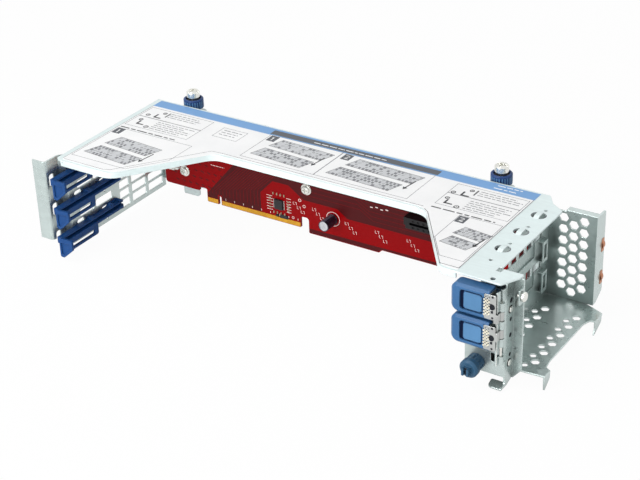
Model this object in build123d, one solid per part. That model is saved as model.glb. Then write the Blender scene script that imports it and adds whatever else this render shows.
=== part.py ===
from build123d import *
import math
import os

os.makedirs("parts", exist_ok=True)

# Server riser cage, millimetres, +Z up.
# Working frame while modelling: x = 0 at the slot end edge of the top plate,
# y = 0 at the back face, z = 0 at the top face of the top plate. Everything is
# moved to its own bottom centre at the very end.

# sheet metal
SHEET = 1.0
FIT_GAP = 0.3

# top plate
PLATE_LEFT_X = -318.5
PLATE_FRONT_Y = -110.0
CUT_BACK_Y = -53.5
CUT_LEFT_FRONT_X = -273.0
CUT_LEFT_BACK_X = -231.0
CUT_RIGHT_BACK_X = -72.4
CUT_RIGHT_FRONT_X = -31.8
CUT_ROUNDING = 13.0
RIM_DEPTH = 4.2
STRIP_FRONT_Y = -94.5
STRIP_BACK_Y = -14.8
TAB_REACH_X = 14.0
TAB_HOLE = (1.0, -107.0)
TAB_HOLE_RADIUS = 1.6
RELIEF_X = (-1.8, 1.6)
RELIEF_DEPTH = 3.9
BACK_WALL_BOTTOM_Z = -61.2
BACK_WALL_RIGHT_X = -21.0
BACK_TAB_X = (-301.0, -287.0)
BACK_TAB_Z = -69.0

# lanced bridges along the strip over the slot wall
LANCE_X = -10.0
LANCE_FIRST_Y = -27.0
LANCE_PITCH = 23.4
LANCE_COUNT = 3
LANCE_RADIUS = 4.2
LANCE_STRAP = 3.4
LANCE_RISE = 1.1
PILOT_OFFSET_Y = 7.6
PILOT_RADIUS = 1.1

# left end panel
PANEL_X = -317.5
PANEL_FRONT_X = -320.5
PANEL_BOTTOM_Z = -66.5
JOG_REAR_Y = -101.8
JOG_FRONT_Y = -105.3
FLANGE_Y = -118.5
FLANGE_LEFT_X = -331.0
FLANGE_BOTTOM_Z = -57.5
PANEL_LIP_WIDTH = 10.0
GRILLE_ROW_PITCH = 7.35
GRILLE_ROW_HEIGHT = 5.9
GRILLE_FIRST_Z = -60.6
GRILLE_COLUMNS = ((-20.4, -4.2), (-38.4, -22.8), (-51.6, -41.0))

# card guides
GUIDE_PITCH = 21.4
GUIDE_WINDOW_Z = -17.4
GUIDE_WINDOW_Y = (-112.4, -87.0)
GUIDE_FRONT_Y = -119.0
GUIDE_REAR_Y = -54.0
GUIDE_SKIRT_REAR_Y = -83.4
GUIDE_RAIL_X = -311.5
GUIDE_LIP_X = -312.9
GUIDE_TOP = 6.0
GUIDE_GROOVE = (3.1, 4.9)
GUIDE_RAIL_BOTTOM = 1.4
GUIDE_SKIRT_BOTTOM = -5.8
GUIDE_FLANGE_X = (-314.6, -303.6)
GUIDE_HUMP_RISE = 1.7

# slot end
WALL_X = -10.0
FLOOR_Z = -61.5
FLOOR_RIGHT_X = 25.5
FLOOR_BACK_Y = -17.0
BAND_Y = -98.0
BAND_RIGHT_X = 16.0
POST_X = 10.0
POST_FRONT_Y = -107.0
POST_BOTTOM_Z = -69.5
HOOK_X = 30.3
HOOK_DROP = 9.5
FRONT_WALL_LEFT_X = -15.6
FRONT_WALL_TOP_Z = -44.0

# vent panel
VENT_Y = -12.0
VENT_RIGHT_X = 21.6
VENT_FLANGE_REAR_Y = 0.0
VENT_FLANGE_BOTTOM_Z = -60.8
VENT_HOLE_PITCH = 7.75
VENT_HOLE_RADIUS = 3.25
VENT_FIRST_X = -0.3
VENT_FIRST_Z = -5.5
VENT_ROWS = 7
VENT_COLUMNS = 3
FINGER_Y = -2.4
FINGER_Z = (-23.0, -45.5)
FINGER_HALF_LENGTH = 4.4
FLOOR_HOLE_RADIUS = 2.9
FLOOR_HOLE_PITCH = 11.2

# slot covers, two of them, stacked upwards
SLOT_PITCH = 20.32
COVER_TOP_Z = -10.6
COVER_HEIGHT = 18.4
COVER_REAR_Y = -16.0
COVER_TAB_X = 4.0
COVER_WINDOWS = 5
COVER_WINDOW_FIRST_Y = -29.8
COVER_WINDOW_PITCH = 10.0
COVER_WINDOW_WIDTH = 7.8
COVER_WINDOW_DROP = (2.4, 8.4)
COVER_SHEET = 0.9
SLOT_OPENING_HEIGHT = 15.0

# riser board
BOARD_FRONT_Y = -8.0
BOARD_THICKNESS = 1.6
BOARD_LEFT_X = -311.0
BOARD_RIGHT_X = -26.0
BOARD_TOP_Z = -4.0
BOARD_LEFT_BOTTOM_Z = -59.3
EDGE_BOTTOM_Z = -66.2
EDGE_X = (-274.8, -195.7)
EDGE_NOTCH = (6.4, -56.2)
KEY_X = (-265.0, -262.6)
EDGE_RELIEF_X = -189.2
EDGE_RELIEF_Z = -57.7
MIDDLE_BOTTOM_Z = -68.9
STEP_X = -132.6
RIGHT_BOTTOM_Z = -66.6
CONTACT_PITCH = 2.0
CONTACT_WIDTH = 1.4
CONTACT_HEIGHT = 3.6
CONTACT_THICKNESS = 0.12
BOARD_HOLES = ((-293.0, -46.4), (-190.0, -35.6))
BOARD_HOLE_RADIUS = 2.0

# slot connectors on the board
SOCKET_X = (-107.0, -30.0)
SOCKET_DEPTH = 11.0
SOCKET_HEIGHT = 7.6
SOCKET_FIRST_Z = -13.8

# capacitor and chips
CAPACITOR_AT = (-169.5, -53.0)
CAPACITOR_RADIUS = 3.9
CAPACITOR_LENGTH = 12.0
CHIP_AT = (-213.0, -52.7)
CHIP_SIZE = 9.0

# levers on their common pin
PIN_X = 9.0
PIN_Y = -111.5
PIN_RADIUS = 0.9
PIN_CLEARANCE = 0.05
KNUCKLE_RADIUS = 1.9
KNUCKLE_LENGTH = 5.2
FIXED_KNUCKLE_Z = (-13.5, -25.3, -36.9, -48.7)
LEVER_KNUCKLE_Z = (-19.4, -31.1)
PLATE_OPENING_Z = (-19.4, -31.1, -42.8)
LEVER_KNUCKLE_LENGTH = 5.6
LEVER_TOP_Z = -3.0
LEVER_HEIGHT = 18.6
LEVER_GAP = 1.72
LEVER_LEFT_X = -20.5
LEVER_RIGHT_X = 3.8
LEVER_FRONT_Y = -117.2
LEVER_REAR_Y = -108.8
LEVER_PAD_DEPTH = 1.2
SPRING_PLATE = 0.5
SIDE_PLATE_FRONT = (8.2, -115.4)
HINGE_PLATE_Z = (-51.3, -3.4)

# front knob and its screw
KNOB_AT = (-7.8, -56.8)
KNOB_RADIUS = 5.9
KNOB_LENGTH = 11.0
KNOB_GAP = 0.05
KNOB_FLUTES = 9
KNOB_TIP = 4.6
KNOB_SHANK_RADIUS = 2.0

# captive thumbscrews behind the back wall
THUMB_X = (-294.0, -53.0)
THUMB_Y = 8.5
EAR_Z = -8.0
EAR_RADIUS = 8.0
FERRULE_RADIUS = 4.4
COLLAR_RADIUS = 7.0
COLLAR_WALL = 1.6
COLLAR_RIM_Z = 3.0
COLLAR_BASE_Z = -3.8
COLLAR_WEB = (3.5, 4.5)
COLLAR_FLUTES = 16
SCREW_HEAD_RADIUS = 4.6
SCREW_HEAD_TOP_Z = 8.6
SCREW_SHANK_RADIUS = 1.5
SCREW_THREAD_RADIUS = 2.0
SCREW_THREAD_TOP_Z = -9.8
SCREW_END_Z = -22.0
COIL_RADIUS = 3.2
COIL_WIRE = 0.45
COIL_TURNS = 3
COIL_SIDES = 12
FINGER_RISE = 1.2


def block(x0, x1, y0, y1, z0, z1):
    size = Box(x1 - x0, y1 - y0, z1 - z0)
    return Pos((x0 + x1) / 2, (y0 + y1) / 2, (z0 + z1) / 2) * size


def rod_x(x0, x1, y, z, radius):
    return Pos((x0 + x1) / 2, y, z) * Rotation(0, 90, 0) * Cylinder(radius, x1 - x0)


def rod_y(x, y0, y1, z, radius):
    return Pos(x, (y0 + y1) / 2, z) * Rotation(90, 0, 0) * Cylinder(radius, y1 - y0)


def rod_z(x, y, z0, z1, radius):
    return Pos(x, y, (z0 + z1) / 2) * Cylinder(radius, z1 - z0)


# Closed flat outline from corners (u, v, rounding).
def outline(corners):
    face = make_face(Polyline([(c[0], c[1]) for c in corners], close=True))
    for rounding in sorted({c[2] for c in corners if c[2] > 0}):
        spots = [c for c in corners if c[2] == rounding]
        chosen = []
        for vertex in face.vertices():
            if any(abs(vertex.X - c[0]) + abs(vertex.Y - c[1]) < 0.01 for c in spots):
                chosen.append(vertex)
        face = fillet(chosen, rounding)
    return face


def prism_xy(corners, z0, z1):
    return extrude(Plane.XY.offset(z0) * outline(corners), z1 - z0)


def prism_xz(corners, y0, y1):
    return extrude(Plane.XZ.offset(-y1) * outline(corners), y1 - y0)


def prism_yz(corners, x0, x1):
    return extrude(Plane.YZ.offset(x0) * outline(corners), x1 - x0)


def rectangle(u0, u1, v0, v1, rounding=0):
    return [(u0, v0, rounding), (u1, v0, rounding), (u1, v1, rounding), (u0, v1, rounding)]


# Rectangle with its corners cut off at 45 degrees.
def cut_corner_rectangle(u0, u1, v0, v1, cut):
    return [
        (u0 + cut, v0, 0),
        (u1 - cut, v0, 0),
        (u1, v0 + cut, 0),
        (u1, v1 - cut, 0),
        (u1 - cut, v1, 0),
        (u0 + cut, v1, 0),
        (u0, v1 - cut, 0),
        (u0, v0 + cut, 0),
    ]


def hexagon(radius, turn=0):
    return RegularPolygon(radius, 6, rotation=turn)


def together(shapes):
    return Compound(children=list(shapes))


# Top plate with its cut-back front, folded rim, back wall and two ears, one folded sheet.
def plate_outline():
    return outline([
        (PLATE_LEFT_X, 0, 1.5),
        (PLATE_LEFT_X, PLATE_FRONT_Y, 4),
        (CUT_LEFT_FRONT_X, PLATE_FRONT_Y, CUT_ROUNDING),
        (CUT_LEFT_BACK_X, CUT_BACK_Y, CUT_ROUNDING),
        (CUT_RIGHT_BACK_X, CUT_BACK_Y, CUT_ROUNDING),
        (CUT_RIGHT_FRONT_X, PLATE_FRONT_Y, 9),
        (7.5, -111, 2),
        (TAB_REACH_X, -98.5, 2),
        (TAB_REACH_X, STRIP_FRONT_Y, 0.8),
        (0, STRIP_FRONT_Y, 0.5),
        (0, STRIP_BACK_Y, 2),
        (-9, -9, 2),
        (-15, 0, 2),
    ])


def lance_y(index):
    return LANCE_FIRST_Y - index * LANCE_PITCH


def lance_bridge(y):
    half = LANCE_STRAP / 2
    arch = prism_yz([
        (y - LANCE_RADIUS - 0.2, -SHEET, 0),
        (y - LANCE_RADIUS - 0.2, 0, 0),
        (y - 2.2, LANCE_RISE, 0),
        (y + 2.2, LANCE_RISE, 0),
        (y + LANCE_RADIUS + 0.2, 0, 0),
        (y + LANCE_RADIUS + 0.2, -SHEET, 0),
        (y + 2.0, LANCE_RISE - SHEET, 0),
        (y - 2.0, LANCE_RISE - SHEET, 0),
    ], LANCE_X - half, LANCE_X + half)
    return arch


def back_ear(x):
    ear = outline([
        (x - EAR_RADIUS, -0.5, 0),
        (x + EAR_RADIUS, -0.5, 0),
        (x + EAR_RADIUS, THUMB_Y + EAR_RADIUS, 6),
        (x - EAR_RADIUS, THUMB_Y + EAR_RADIUS, 6),
    ])
    solid = extrude(Plane.XY.offset(EAR_Z - SHEET) * ear, SHEET)
    return solid - rod_z(x, THUMB_Y, EAR_Z - 2, EAR_Z + 1, FERRULE_RADIUS - 1.2)


def make_top_sheet():
    face = plate_outline()
    plate = extrude(Plane.XY.offset(-SHEET) * face, SHEET)
    ring = face - offset(face, -SHEET)
    rim = extrude(Plane.XY.offset(-RIM_DEPTH) * ring, RIM_DEPTH - SHEET)
    rim_zone = block(PLATE_LEFT_X + 4.5, CUT_RIGHT_FRONT_X + 11, -120, CUT_BACK_Y + 3, -RIM_DEPTH, 0)
    sheet = plate + (rim & rim_zone)
    wall = prism_xz([
        (PLATE_LEFT_X, 0, 0),
        (BACK_WALL_RIGHT_X, 0, 0),
        (BACK_WALL_RIGHT_X, BACK_WALL_BOTTOM_Z, 3),
        (BACK_TAB_X[1], BACK_WALL_BOTTOM_Z, 0),
        (BACK_TAB_X[1], BACK_TAB_Z, 2.5),
        (BACK_TAB_X[0], BACK_TAB_Z, 1),
        (BACK_TAB_X[0], BACK_WALL_BOTTOM_Z, 0),
        (PLATE_LEFT_X, BACK_WALL_BOTTOM_Z, 1),
    ], -SHEET, 0)
    sheet = sheet + wall
    for x in THUMB_X:
        sheet = sheet + back_ear(x)
    for index in range(LANCE_COUNT):
        y = lance_y(index)
        sheet = sheet - rod_z(LANCE_X, y, -2, 1, LANCE_RADIUS)
        sheet = sheet + lance_bridge(y)
        sheet = sheet - rod_z(LANCE_X + 1, y + PILOT_OFFSET_Y, -2, 1, PILOT_RADIUS)
    sheet = sheet - rod_z(LANCE_X, lance_y(LANCE_COUNT) + 8.4, -2, 1, PILOT_RADIUS)
    sheet = sheet - rod_z(TAB_HOLE[0], TAB_HOLE[1], -2, 1, TAB_HOLE_RADIUS)
    sheet = sheet - block(RELIEF_X[0], RELIEF_X[1], STRIP_FRONT_Y - RELIEF_DEPTH, STRIP_FRONT_Y + 0.6, -2, 1)
    for x, z in BOARD_HOLES:
        sheet = sheet - rod_y(x, -2, 1, z, BOARD_HOLE_RADIUS + 0.2)
    return sheet


# Printed label film lying on the top plate.
LABEL_FILM = 0.15


def make_label():
    inset = 1.6
    face = outline([
        (PLATE_LEFT_X + 4.5, -1.6, 1),
        (PLATE_LEFT_X + 4.0, PLATE_FRONT_Y + 2, 2),
        (CUT_LEFT_FRONT_X + 0.6, PLATE_FRONT_Y + 2, CUT_ROUNDING),
        (CUT_LEFT_BACK_X + inset, CUT_BACK_Y + 2, CUT_ROUNDING),
        (CUT_RIGHT_BACK_X - inset, CUT_BACK_Y + 2, CUT_ROUNDING),
        (CUT_RIGHT_FRONT_X - 0.6, PLATE_FRONT_Y + 2, 9),
        (-20.8, PLATE_FRONT_Y + 2, 1),
        (-20.8, -1.6, 1),
    ])
    return extrude(face, LABEL_FILM)


# Left end panel: jog near the front, front flange, grille and windows.
def panel_windows():
    cuts = []
    for y0, y1 in GRILLE_COLUMNS:
        for row in range(8):
            z = GRILLE_FIRST_Z + row * GRILLE_ROW_PITCH
            half = GRILLE_ROW_HEIGHT / 2
            cuts.append(prism_yz(cut_corner_rectangle(y0, y1, z - half, z + half, 0.8), -323, -316))
    for index in range(3):
        z = GUIDE_WINDOW_Z - index * GUIDE_PITCH
        if index > 0:
            cuts.append(prism_yz(cut_corner_rectangle(-77, -59.4, z + 9.3, z + 15.1, 1.2), -323, -316))
            cuts.append(prism_yz(cut_corner_rectangle(-93.6, -78.8, z + 9.6, z + 15.0, 1.2), -323, -316))
            cuts.append(prism_yz(cut_corner_rectangle(-97, -90, z + 5.9, z + 8.7, 1.0), -323, -316))
        cuts.append(prism_yz(cut_corner_rectangle(-71.4, -63.4, z + 3.3, z + 6.9, 0.8), -323, -316))
        if index < 2:
            cuts.append(prism_yz(cut_corner_rectangle(-115.6, -110.8, z - 1.5, z + 7.0, 1.2), -323, -318))
        cuts.append(rod_x(-323, -316, -66.5, z - 3.4, 1.0))
    notch = prism_yz(rectangle(-115.2, -110.6, -70, -52.5, 2), -323, -318)
    cuts.append(notch)
    return cuts


def make_left_panel():
    plan = outline([
        (PANEL_X, -SHEET, 0),
        (PANEL_X, JOG_REAR_Y, 1),
        (PANEL_FRONT_X, JOG_FRONT_Y, 1),
        (PANEL_FRONT_X, FLANGE_Y, 2.4),
        (FLANGE_LEFT_X, FLANGE_Y, 0),
        (FLANGE_LEFT_X, FLANGE_Y + SHEET, 0),
        (PANEL_FRONT_X - SHEET, FLANGE_Y + SHEET, 1.4),
        (PANEL_FRONT_X - SHEET, JOG_FRONT_Y - 0.4, 1),
        (PANEL_X - SHEET, JOG_REAR_Y - 0.4, 1),
        (PANEL_X - SHEET, -SHEET, 0),
    ])
    panel = extrude(Plane.XY.offset(PANEL_BOTTOM_Z) * plan, -PANEL_BOTTOM_Z)
    panel = panel - block(PLATE_LEFT_X - 0.1, -300, PLATE_FRONT_Y - 0.2, 1, -SHEET, 1)
    panel = panel - block(-335, -300, -125, JOG_FRONT_Y - 1.5, PANEL_BOTTOM_Z - 1, FLANGE_BOTTOM_Z)
    lip = block(PANEL_X - 0.5, PANEL_X + PANEL_LIP_WIDTH, -98, -4, -2 * SHEET, -SHEET)
    panel = panel + lip
    for cut in panel_windows():
        panel = panel - cut
    return panel


# Card guide: grooved rail, skirt with a long window, flared end flange, rear hump.
def guide_rail(z):
    back_x = PANEL_X
    low, high = GUIDE_GROOVE
    rail = prism_xz([
        (back_x, z + GUIDE_RAIL_BOTTOM, 0),
        (GUIDE_RAIL_X, z + GUIDE_RAIL_BOTTOM, 0),
        (GUIDE_RAIL_X, z + low, 0),
        (back_x + 2.2, z + low, 0),
        (back_x + 2.2, z + high, 0),
        (GUIDE_LIP_X, z + high, 0),
        (GUIDE_LIP_X, z + GUIDE_TOP, 0),
        (back_x, z + GUIDE_TOP, 0),
    ], GUIDE_FRONT_Y + 1.2, GUIDE_REAR_Y)
    lead_in = Pos(GUIDE_RAIL_X + 1.2, GUIDE_REAR_Y + 0.6, z + 4) * Rotation(0, 0, 45) * Box(5, 5, 8)
    return rail - lead_in


def guide_skirt(z):
    skirt = prism_yz([
        (GUIDE_FRONT_Y + 0.6, z + GUIDE_SKIRT_BOTTOM, 0),
        (GUIDE_SKIRT_REAR_Y, z + GUIDE_SKIRT_BOTTOM, 1.6),
        (GUIDE_SKIRT_REAR_Y, z + GUIDE_RAIL_BOTTOM + 0.5, 0),
        (GUIDE_FRONT_Y + 0.6, z + GUIDE_RAIL_BOTTOM + 0.5, 0),
    ], GUIDE_RAIL_X - 1.6, GUIDE_RAIL_X)
    y0, y1 = GUIDE_WINDOW_Y
    window = prism_yz(rectangle(y0, y1, z - 4.1, z - 0.9, 1.4), GUIDE_RAIL_X - 3, GUIDE_RAIL_X + 1)
    return skirt - window


def guide_flange(z):
    left, right = GUIDE_FLANGE_X
    flange = prism_xz([
        (left, z + 6.4, 1.2),
        (right, z + 6.8, 1),
        (right, z - 0.4, 1),
        (left + 3.0, z - 7.5, 1.2),
        (left, z - 7.3, 1.2),
    ], GUIDE_FRONT_Y - 0.6, GUIDE_FRONT_Y + 1.2)
    recess = prism_xz([
        (left + 1.4, z + 3.4, 0.6),
        (right - 1.6, z + 3.8, 0.6),
        (right - 1.8, z - 0.2, 0.6),
        (left + 3.2, z - 5.4, 0.6),
        (left + 1.4, z - 5.2, 0.6),
    ], GUIDE_FRONT_Y - 1, GUIDE_FRONT_Y + 0.2)
    return flange - recess


def guide_hump(z):
    top = z + GUIDE_TOP + GUIDE_HUMP_RISE
    hump = prism_yz([
        (-68.0, z + GUIDE_TOP - 1, 0),
        (GUIDE_REAR_Y, z + GUIDE_TOP - 1, 0),
        (GUIDE_REAR_Y, z + GUIDE_TOP + 0.4, 0.5),
        (GUIDE_REAR_Y - 2.4, top, 0.8),
        (-64.5, top, 0.8),
        (-68.0, z + GUIDE_TOP, 0),
    ], PANEL_X, PANEL_X + 4.4)
    step = block(PANEL_X, GUIDE_LIP_X, -88.0, -84.4, z + GUIDE_TOP - 0.5, z + GUIDE_TOP + 1.0)
    pocket = block(PANEL_X + 1.2, PANEL_X + 5, -64.0, -57.5, z + GUIDE_TOP + 0.2, top + 1)
    return hump + step - pocket


def make_guide(index):
    z = GUIDE_WINDOW_Z - index * GUIDE_PITCH
    return guide_rail(z) + guide_skirt(z) + guide_flange(z) + guide_hump(z)


# Slot frame: floor with hooks, slot wall, post, front wall and foot, one folded sheet.
def floor_holes():
    cuts = []
    for index in range(6):
        y = -29.5 - index * FLOOR_HOLE_PITCH
        cuts.append((18.8, y, FLOOR_HOLE_RADIUS))
        cuts.append((14.6, y - FLOOR_HOLE_PITCH / 2, 2.3))
    for index in range(5):
        y = -29.3 - index * FLOOR_HOLE_PITCH
        cuts.append((-2.2, y, FLOOR_HOLE_RADIUS))
    for index in range(4):
        y = -35.0 - index * FLOOR_HOLE_PITCH
        cuts.append((-6.6, y + 0.4, 2.3))
    return cuts


def hook(y0, y1, tip_y):
    flap = prism_yz([
        (y0, FLOOR_Z, 0),
        (y1, FLOOR_Z, 0),
        (y1, FLOOR_Z - 4.6, 3),
        (tip_y, FLOOR_Z - HOOK_DROP, 0),
        (y0, FLOOR_Z - 5.2, 1.5),
    ], HOOK_X - SHEET, HOOK_X)
    return flap


def make_slot_frame():
    floor = prism_xy([
        (WALL_X - SHEET, VENT_Y + SHEET, 0),
        (16, VENT_Y + SHEET, 2),
        (HOOK_X, FLOOR_BACK_Y, 1),
        (HOOK_X, -27.4, 0),
        (FLOOR_RIGHT_X + 1.4, -28.4, 1.5),
        (FLOOR_RIGHT_X - 0.3, -34, 8),
        (FLOOR_RIGHT_X, -80, 8),
        (FLOOR_RIGHT_X + 1.2, -87.6, 1.5),
        (HOOK_X, -89.6, 0),
        (HOOK_X, -97, 1),
        (POST_X, BAND_Y, 0),
        (POST_X, POST_FRONT_Y - SHEET, 0),
        (FRONT_WALL_LEFT_X, POST_FRONT_Y - SHEET, 0),
        (FRONT_WALL_LEFT_X, BAND_Y + 6, 0),
        (WALL_X - SHEET, BAND_Y + 6, 0),
    ], FLOOR_Z - SHEET, FLOOR_Z)
    for x, y, radius in floor_holes():
        floor = floor - Pos(x, y, FLOOR_Z - 2) * extrude(hexagon(radius, 30), 4)
    floor = floor + hook(-97, -89.8, -96.6) + hook(-27.2, -18.4, -28.6)
    wall = block(WALL_X - SHEET, WALL_X, BAND_Y, VENT_Y, FLOOR_Z - 0.5, -SHEET)
    for index in range(2):
        top = COVER_TOP_Z - 1.5 - index * SLOT_PITCH
        opening = rectangle(-88, -30, top - SLOT_OPENING_HEIGHT, top, 0.8)
        wall = wall - prism_yz(opening, WALL_X - 2, WALL_X + 1)
        row = COVER_TOP_Z - index * SLOT_PITCH
        strip = rectangle(-31, -21, row - 7.2, row - 1.9)
        wall = wall - prism_yz(strip, WALL_X - 2, WALL_X + 1)
    band = prism_xz([
        (WALL_X - SHEET, -SHEET, 0),
        (BAND_RIGHT_X, -SHEET, 1),
        (BAND_RIGHT_X, FLOOR_Z, 0),
        (POST_X + 0.5, FLOOR_Z - 6.5, 1),
        (POST_X - SHEET, FLOOR_Z - 6.5, 0),
        (POST_X - SHEET, FLOOR_Z, 0),
        (WALL_X - SHEET, FLOOR_Z, 0),
    ], BAND_Y, BAND_Y + SHEET)
    post = prism_yz([
        (BAND_Y + SHEET, -SHEET, 0),
        (BAND_Y + SHEET, POST_BOTTOM_Z + 2.5, 1),
        (POST_FRONT_Y + 2, POST_BOTTOM_Z, 1),
        (-112, POST_BOTTOM_Z, 0.5),
        (-112, POST_BOTTOM_Z + SHEET, 0),
        (POST_FRONT_Y, POST_BOTTOM_Z + SHEET + 1, 1),
        (POST_FRONT_Y, -SHEET, 1),
    ], POST_X - SHEET, POST_X)
    for z, radius in ((-14, 0.9), (-26.5, 0.8), (-37, 1.0), (-50, 0.8)):
        post = post - rod_x(POST_X - 2, POST_X + 1, -101.6, z, radius)
    for z in (-19.6, -55.3):
        post = post - rod_x(POST_X - 2, POST_X + 1, -102.2, z, 1.1)
    foot = prism_xy([
        (0, -104, 1),
        (POST_X, -104, 0),
        (POST_X, -112, 0),
        (1.5, -112, 3),
    ], POST_BOTTOM_Z, POST_BOTTOM_Z + SHEET)
    lower = (FRONT_WALL_LEFT_X, POST_FRONT_Y - SHEET)
    front = prism_xz([
        (FRONT_WALL_LEFT_X, FLOOR_Z - 0.5, 0),
        (POST_X, FLOOR_Z - 0.5, 0),
        (POST_X, FRONT_WALL_TOP_Z, 0),
        (FRONT_WALL_LEFT_X, FRONT_WALL_TOP_Z, 1),
    ], lower[1], lower[1] + SHEET)
    front = front - block(1.2, 5.2, lower[1] - 1, lower[1] + 2, -53.8, -48.2)
    front = front - block(POST_X - 1.8, POST_X + 1, lower[1] - 1, lower[1] + 2, HINGE_PLATE_Z[0] - 0.3, -40)
    front = front - rod_y(KNOB_AT[0], lower[1] - 1, lower[1] + 2, KNOB_AT[1], KNOB_SHANK_RADIUS + 0.4)
    ear = block(BAND_RIGHT_X - SHEET, BAND_RIGHT_X, BAND_Y - 5, BAND_Y + SHEET, -15.4, -6)
    frame = floor + wall + band + post + foot + front + ear
    frame = frame - rod_x(BAND_RIGHT_X - 2, BAND_RIGHT_X + 1, BAND_Y - 2.2, -10.6, 1.7)
    for index in range(2):
        frame = frame + tail_pocket(index)
    return frame


# Pocket on the slot wall that holds the tail of a slot cover.
def tail_pocket(index):
    top = COVER_TOP_Z - 7.6 - index * (SLOT_PITCH + 1.0)
    bottom = top - 14.5
    outer = WALL_X + 3.4
    pocket = block(WALL_X, outer, -25.5, -19.5, bottom, top)
    hollow = block(WALL_X - 0.1, outer - 0.9, -26, -20.4, bottom + 0.9, top - 0.9)
    window = block(outer - 2, outer + 1, -24.4, -20.8, bottom + 2.4, top - 2.4)
    return pocket - hollow - window


# Slot cover: flat strip with vent windows and a folded tab at the front.
def make_cover(index):
    top = COVER_TOP_Z - index * SLOT_PITCH
    bottom = top - COVER_HEIGHT
    x1 = WALL_X - SHEET
    front = BAND_Y - COVER_SHEET
    strip = prism_yz([
        (COVER_REAR_Y - 1.5, top - 5, 1),
        (COVER_REAR_Y - 1.5, top - 13.4, 1),
        (COVER_REAR_Y - 9, bottom, 1),
        (front, bottom, 0),
        (front, top, 0),
        (COVER_REAR_Y - 9, top, 1),
    ], x1 - COVER_SHEET, x1)
    tab = prism_xz([
        (x1 - 0.1, top - 0.4, 0),
        (COVER_TAB_X, top - 0.4, 1),
        (COVER_TAB_X, top - 6.2, 0),
        (-2.2, top - 6.2, 1),
        (-2.2, top - 10.8, 1),
        (COVER_TAB_X, top - 10.8, 0),
        (COVER_TAB_X, bottom + 1.2, 1),
        (x1 - 0.1, bottom + 1.2, 0),
    ], front, BAND_Y)
    strip = strip + tab
    high, low = COVER_WINDOW_DROP
    for window in range(COVER_WINDOWS):
        y = COVER_WINDOW_FIRST_Y - window * COVER_WINDOW_PITCH
        strip = strip - block(x1 - 2, x1 + 1, y, y + COVER_WINDOW_WIDTH, top - low, top - high)
    return strip


# Vent panel with its hexagonal holes and two folded edges.
def make_vent_panel():
    panel = prism_xz([
        (WALL_X - SHEET, -SHEET - 0.2, 0),
        (1.2, -SHEET - 0.2, 0),
        (1.2, -0.2, 0),
        (VENT_RIGHT_X, -0.2, 0.6),
        (VENT_RIGHT_X, FLOOR_Z + FIT_GAP, 0.6),
        (WALL_X - SHEET, FLOOR_Z + FIT_GAP, 0),
    ], VENT_Y, VENT_Y + SHEET)
    step = VENT_HOLE_PITCH * math.sqrt(3) / 2
    for column in range(VENT_COLUMNS):
        for row in range(VENT_ROWS):
            x = VENT_FIRST_X + column * step
            z = VENT_FIRST_Z - row * VENT_HOLE_PITCH - (column % 2) * VENT_HOLE_PITCH / 2
            hole = Plane.XZ.offset(-VENT_Y - 2) * Pos(x, z) * hexagon(VENT_HOLE_RADIUS, 0)
            panel = panel - extrude(hole, 4)
    top = block(1.2, VENT_RIGHT_X - 1, VENT_Y, VENT_Y + 5, -SHEET - 0.2, -0.2)
    side = prism_yz([
        (VENT_Y, -0.2, 0),
        (VENT_FLANGE_REAR_Y, -0.2, 1.5),
        (VENT_FLANGE_REAR_Y, VENT_FLANGE_BOTTOM_Z + 5.2, 3),
        (VENT_FLANGE_REAR_Y - 8.6, VENT_FLANGE_BOTTOM_Z, 2),
        (VENT_Y, VENT_FLANGE_BOTTOM_Z, 0),
    ], VENT_RIGHT_X - SHEET, VENT_RIGHT_X)
    for z in FINGER_Z:
        side = side - block(VENT_RIGHT_X - 2, VENT_RIGHT_X + 1, FINGER_Y - 1.4, FINGER_Y + 1.4,
                            z - 3.6, z + 3.6)
    return panel + top + side


# Two curved copper contact springs, set through the side edge of the vent panel.
def make_spring_fingers():
    fingers = []
    half = FINGER_HALF_LENGTH
    for z in FINGER_Z:
        foot = rectangle(FINGER_Y - 1.6, FINGER_Y + 1.6, z - half, z + half, 0.3)
        bow = prism_yz(foot, VENT_RIGHT_X, VENT_RIGHT_X + 0.3)
        centre_x = VENT_RIGHT_X + FINGER_RISE - 4.2
        arch = rod_y(centre_x, FINGER_Y - 1.2, FINGER_Y + 1.2, z, 4.2)
        hollow = rod_y(centre_x, FINGER_Y - 1.5, FINGER_Y + 1.5, z, 3.8)
        keep = block(VENT_RIGHT_X + 0.1, VENT_RIGHT_X + 3, FINGER_Y - 2, FINGER_Y + 2, z - 5, z + 5)
        curve = (arch - hollow) & keep
        fingers.append(bow + curve)
    return together(fingers)


# Hinge side plate with fixed knuckles, set against the front edge of the post.
def make_hinge_plate():
    plate = prism_xy([
        (POST_X, POST_FRONT_Y, 0),
        (POST_X - SHEET, POST_FRONT_Y, 0),
        (SIDE_PLATE_FRONT[0] - 0.8, SIDE_PLATE_FRONT[1], 0),
        (SIDE_PLATE_FRONT[0], SIDE_PLATE_FRONT[1], 0),
    ], HINGE_PLATE_Z[0], HINGE_PLATE_Z[1])
    for z in PLATE_OPENING_Z:
        half = LEVER_KNUCKLE_LENGTH / 2 + 0.25
        plate = plate - block(4, 12, SIDE_PLATE_FRONT[1] + 0.8, -109, z - half, z + half)
    for z in FIXED_KNUCKLE_Z:
        half = KNUCKLE_LENGTH / 2
        plate = plate + rod_z(PIN_X, PIN_Y, z - half, z + half, KNUCKLE_RADIUS)
    return plate - rod_z(PIN_X, PIN_Y, -60, 0, PIN_RADIUS + PIN_CLEARANCE)


def make_hinge_pin():
    top = FIXED_KNUCKLE_Z[0] + KNUCKLE_LENGTH / 2
    bottom = FIXED_KNUCKLE_Z[-1] - KNUCKLE_LENGTH / 2
    return rod_z(PIN_X, PIN_Y, bottom, top, PIN_RADIUS)


def lever_top(index):
    return LEVER_TOP_Z - index * (LEVER_HEIGHT + LEVER_GAP)


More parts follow.
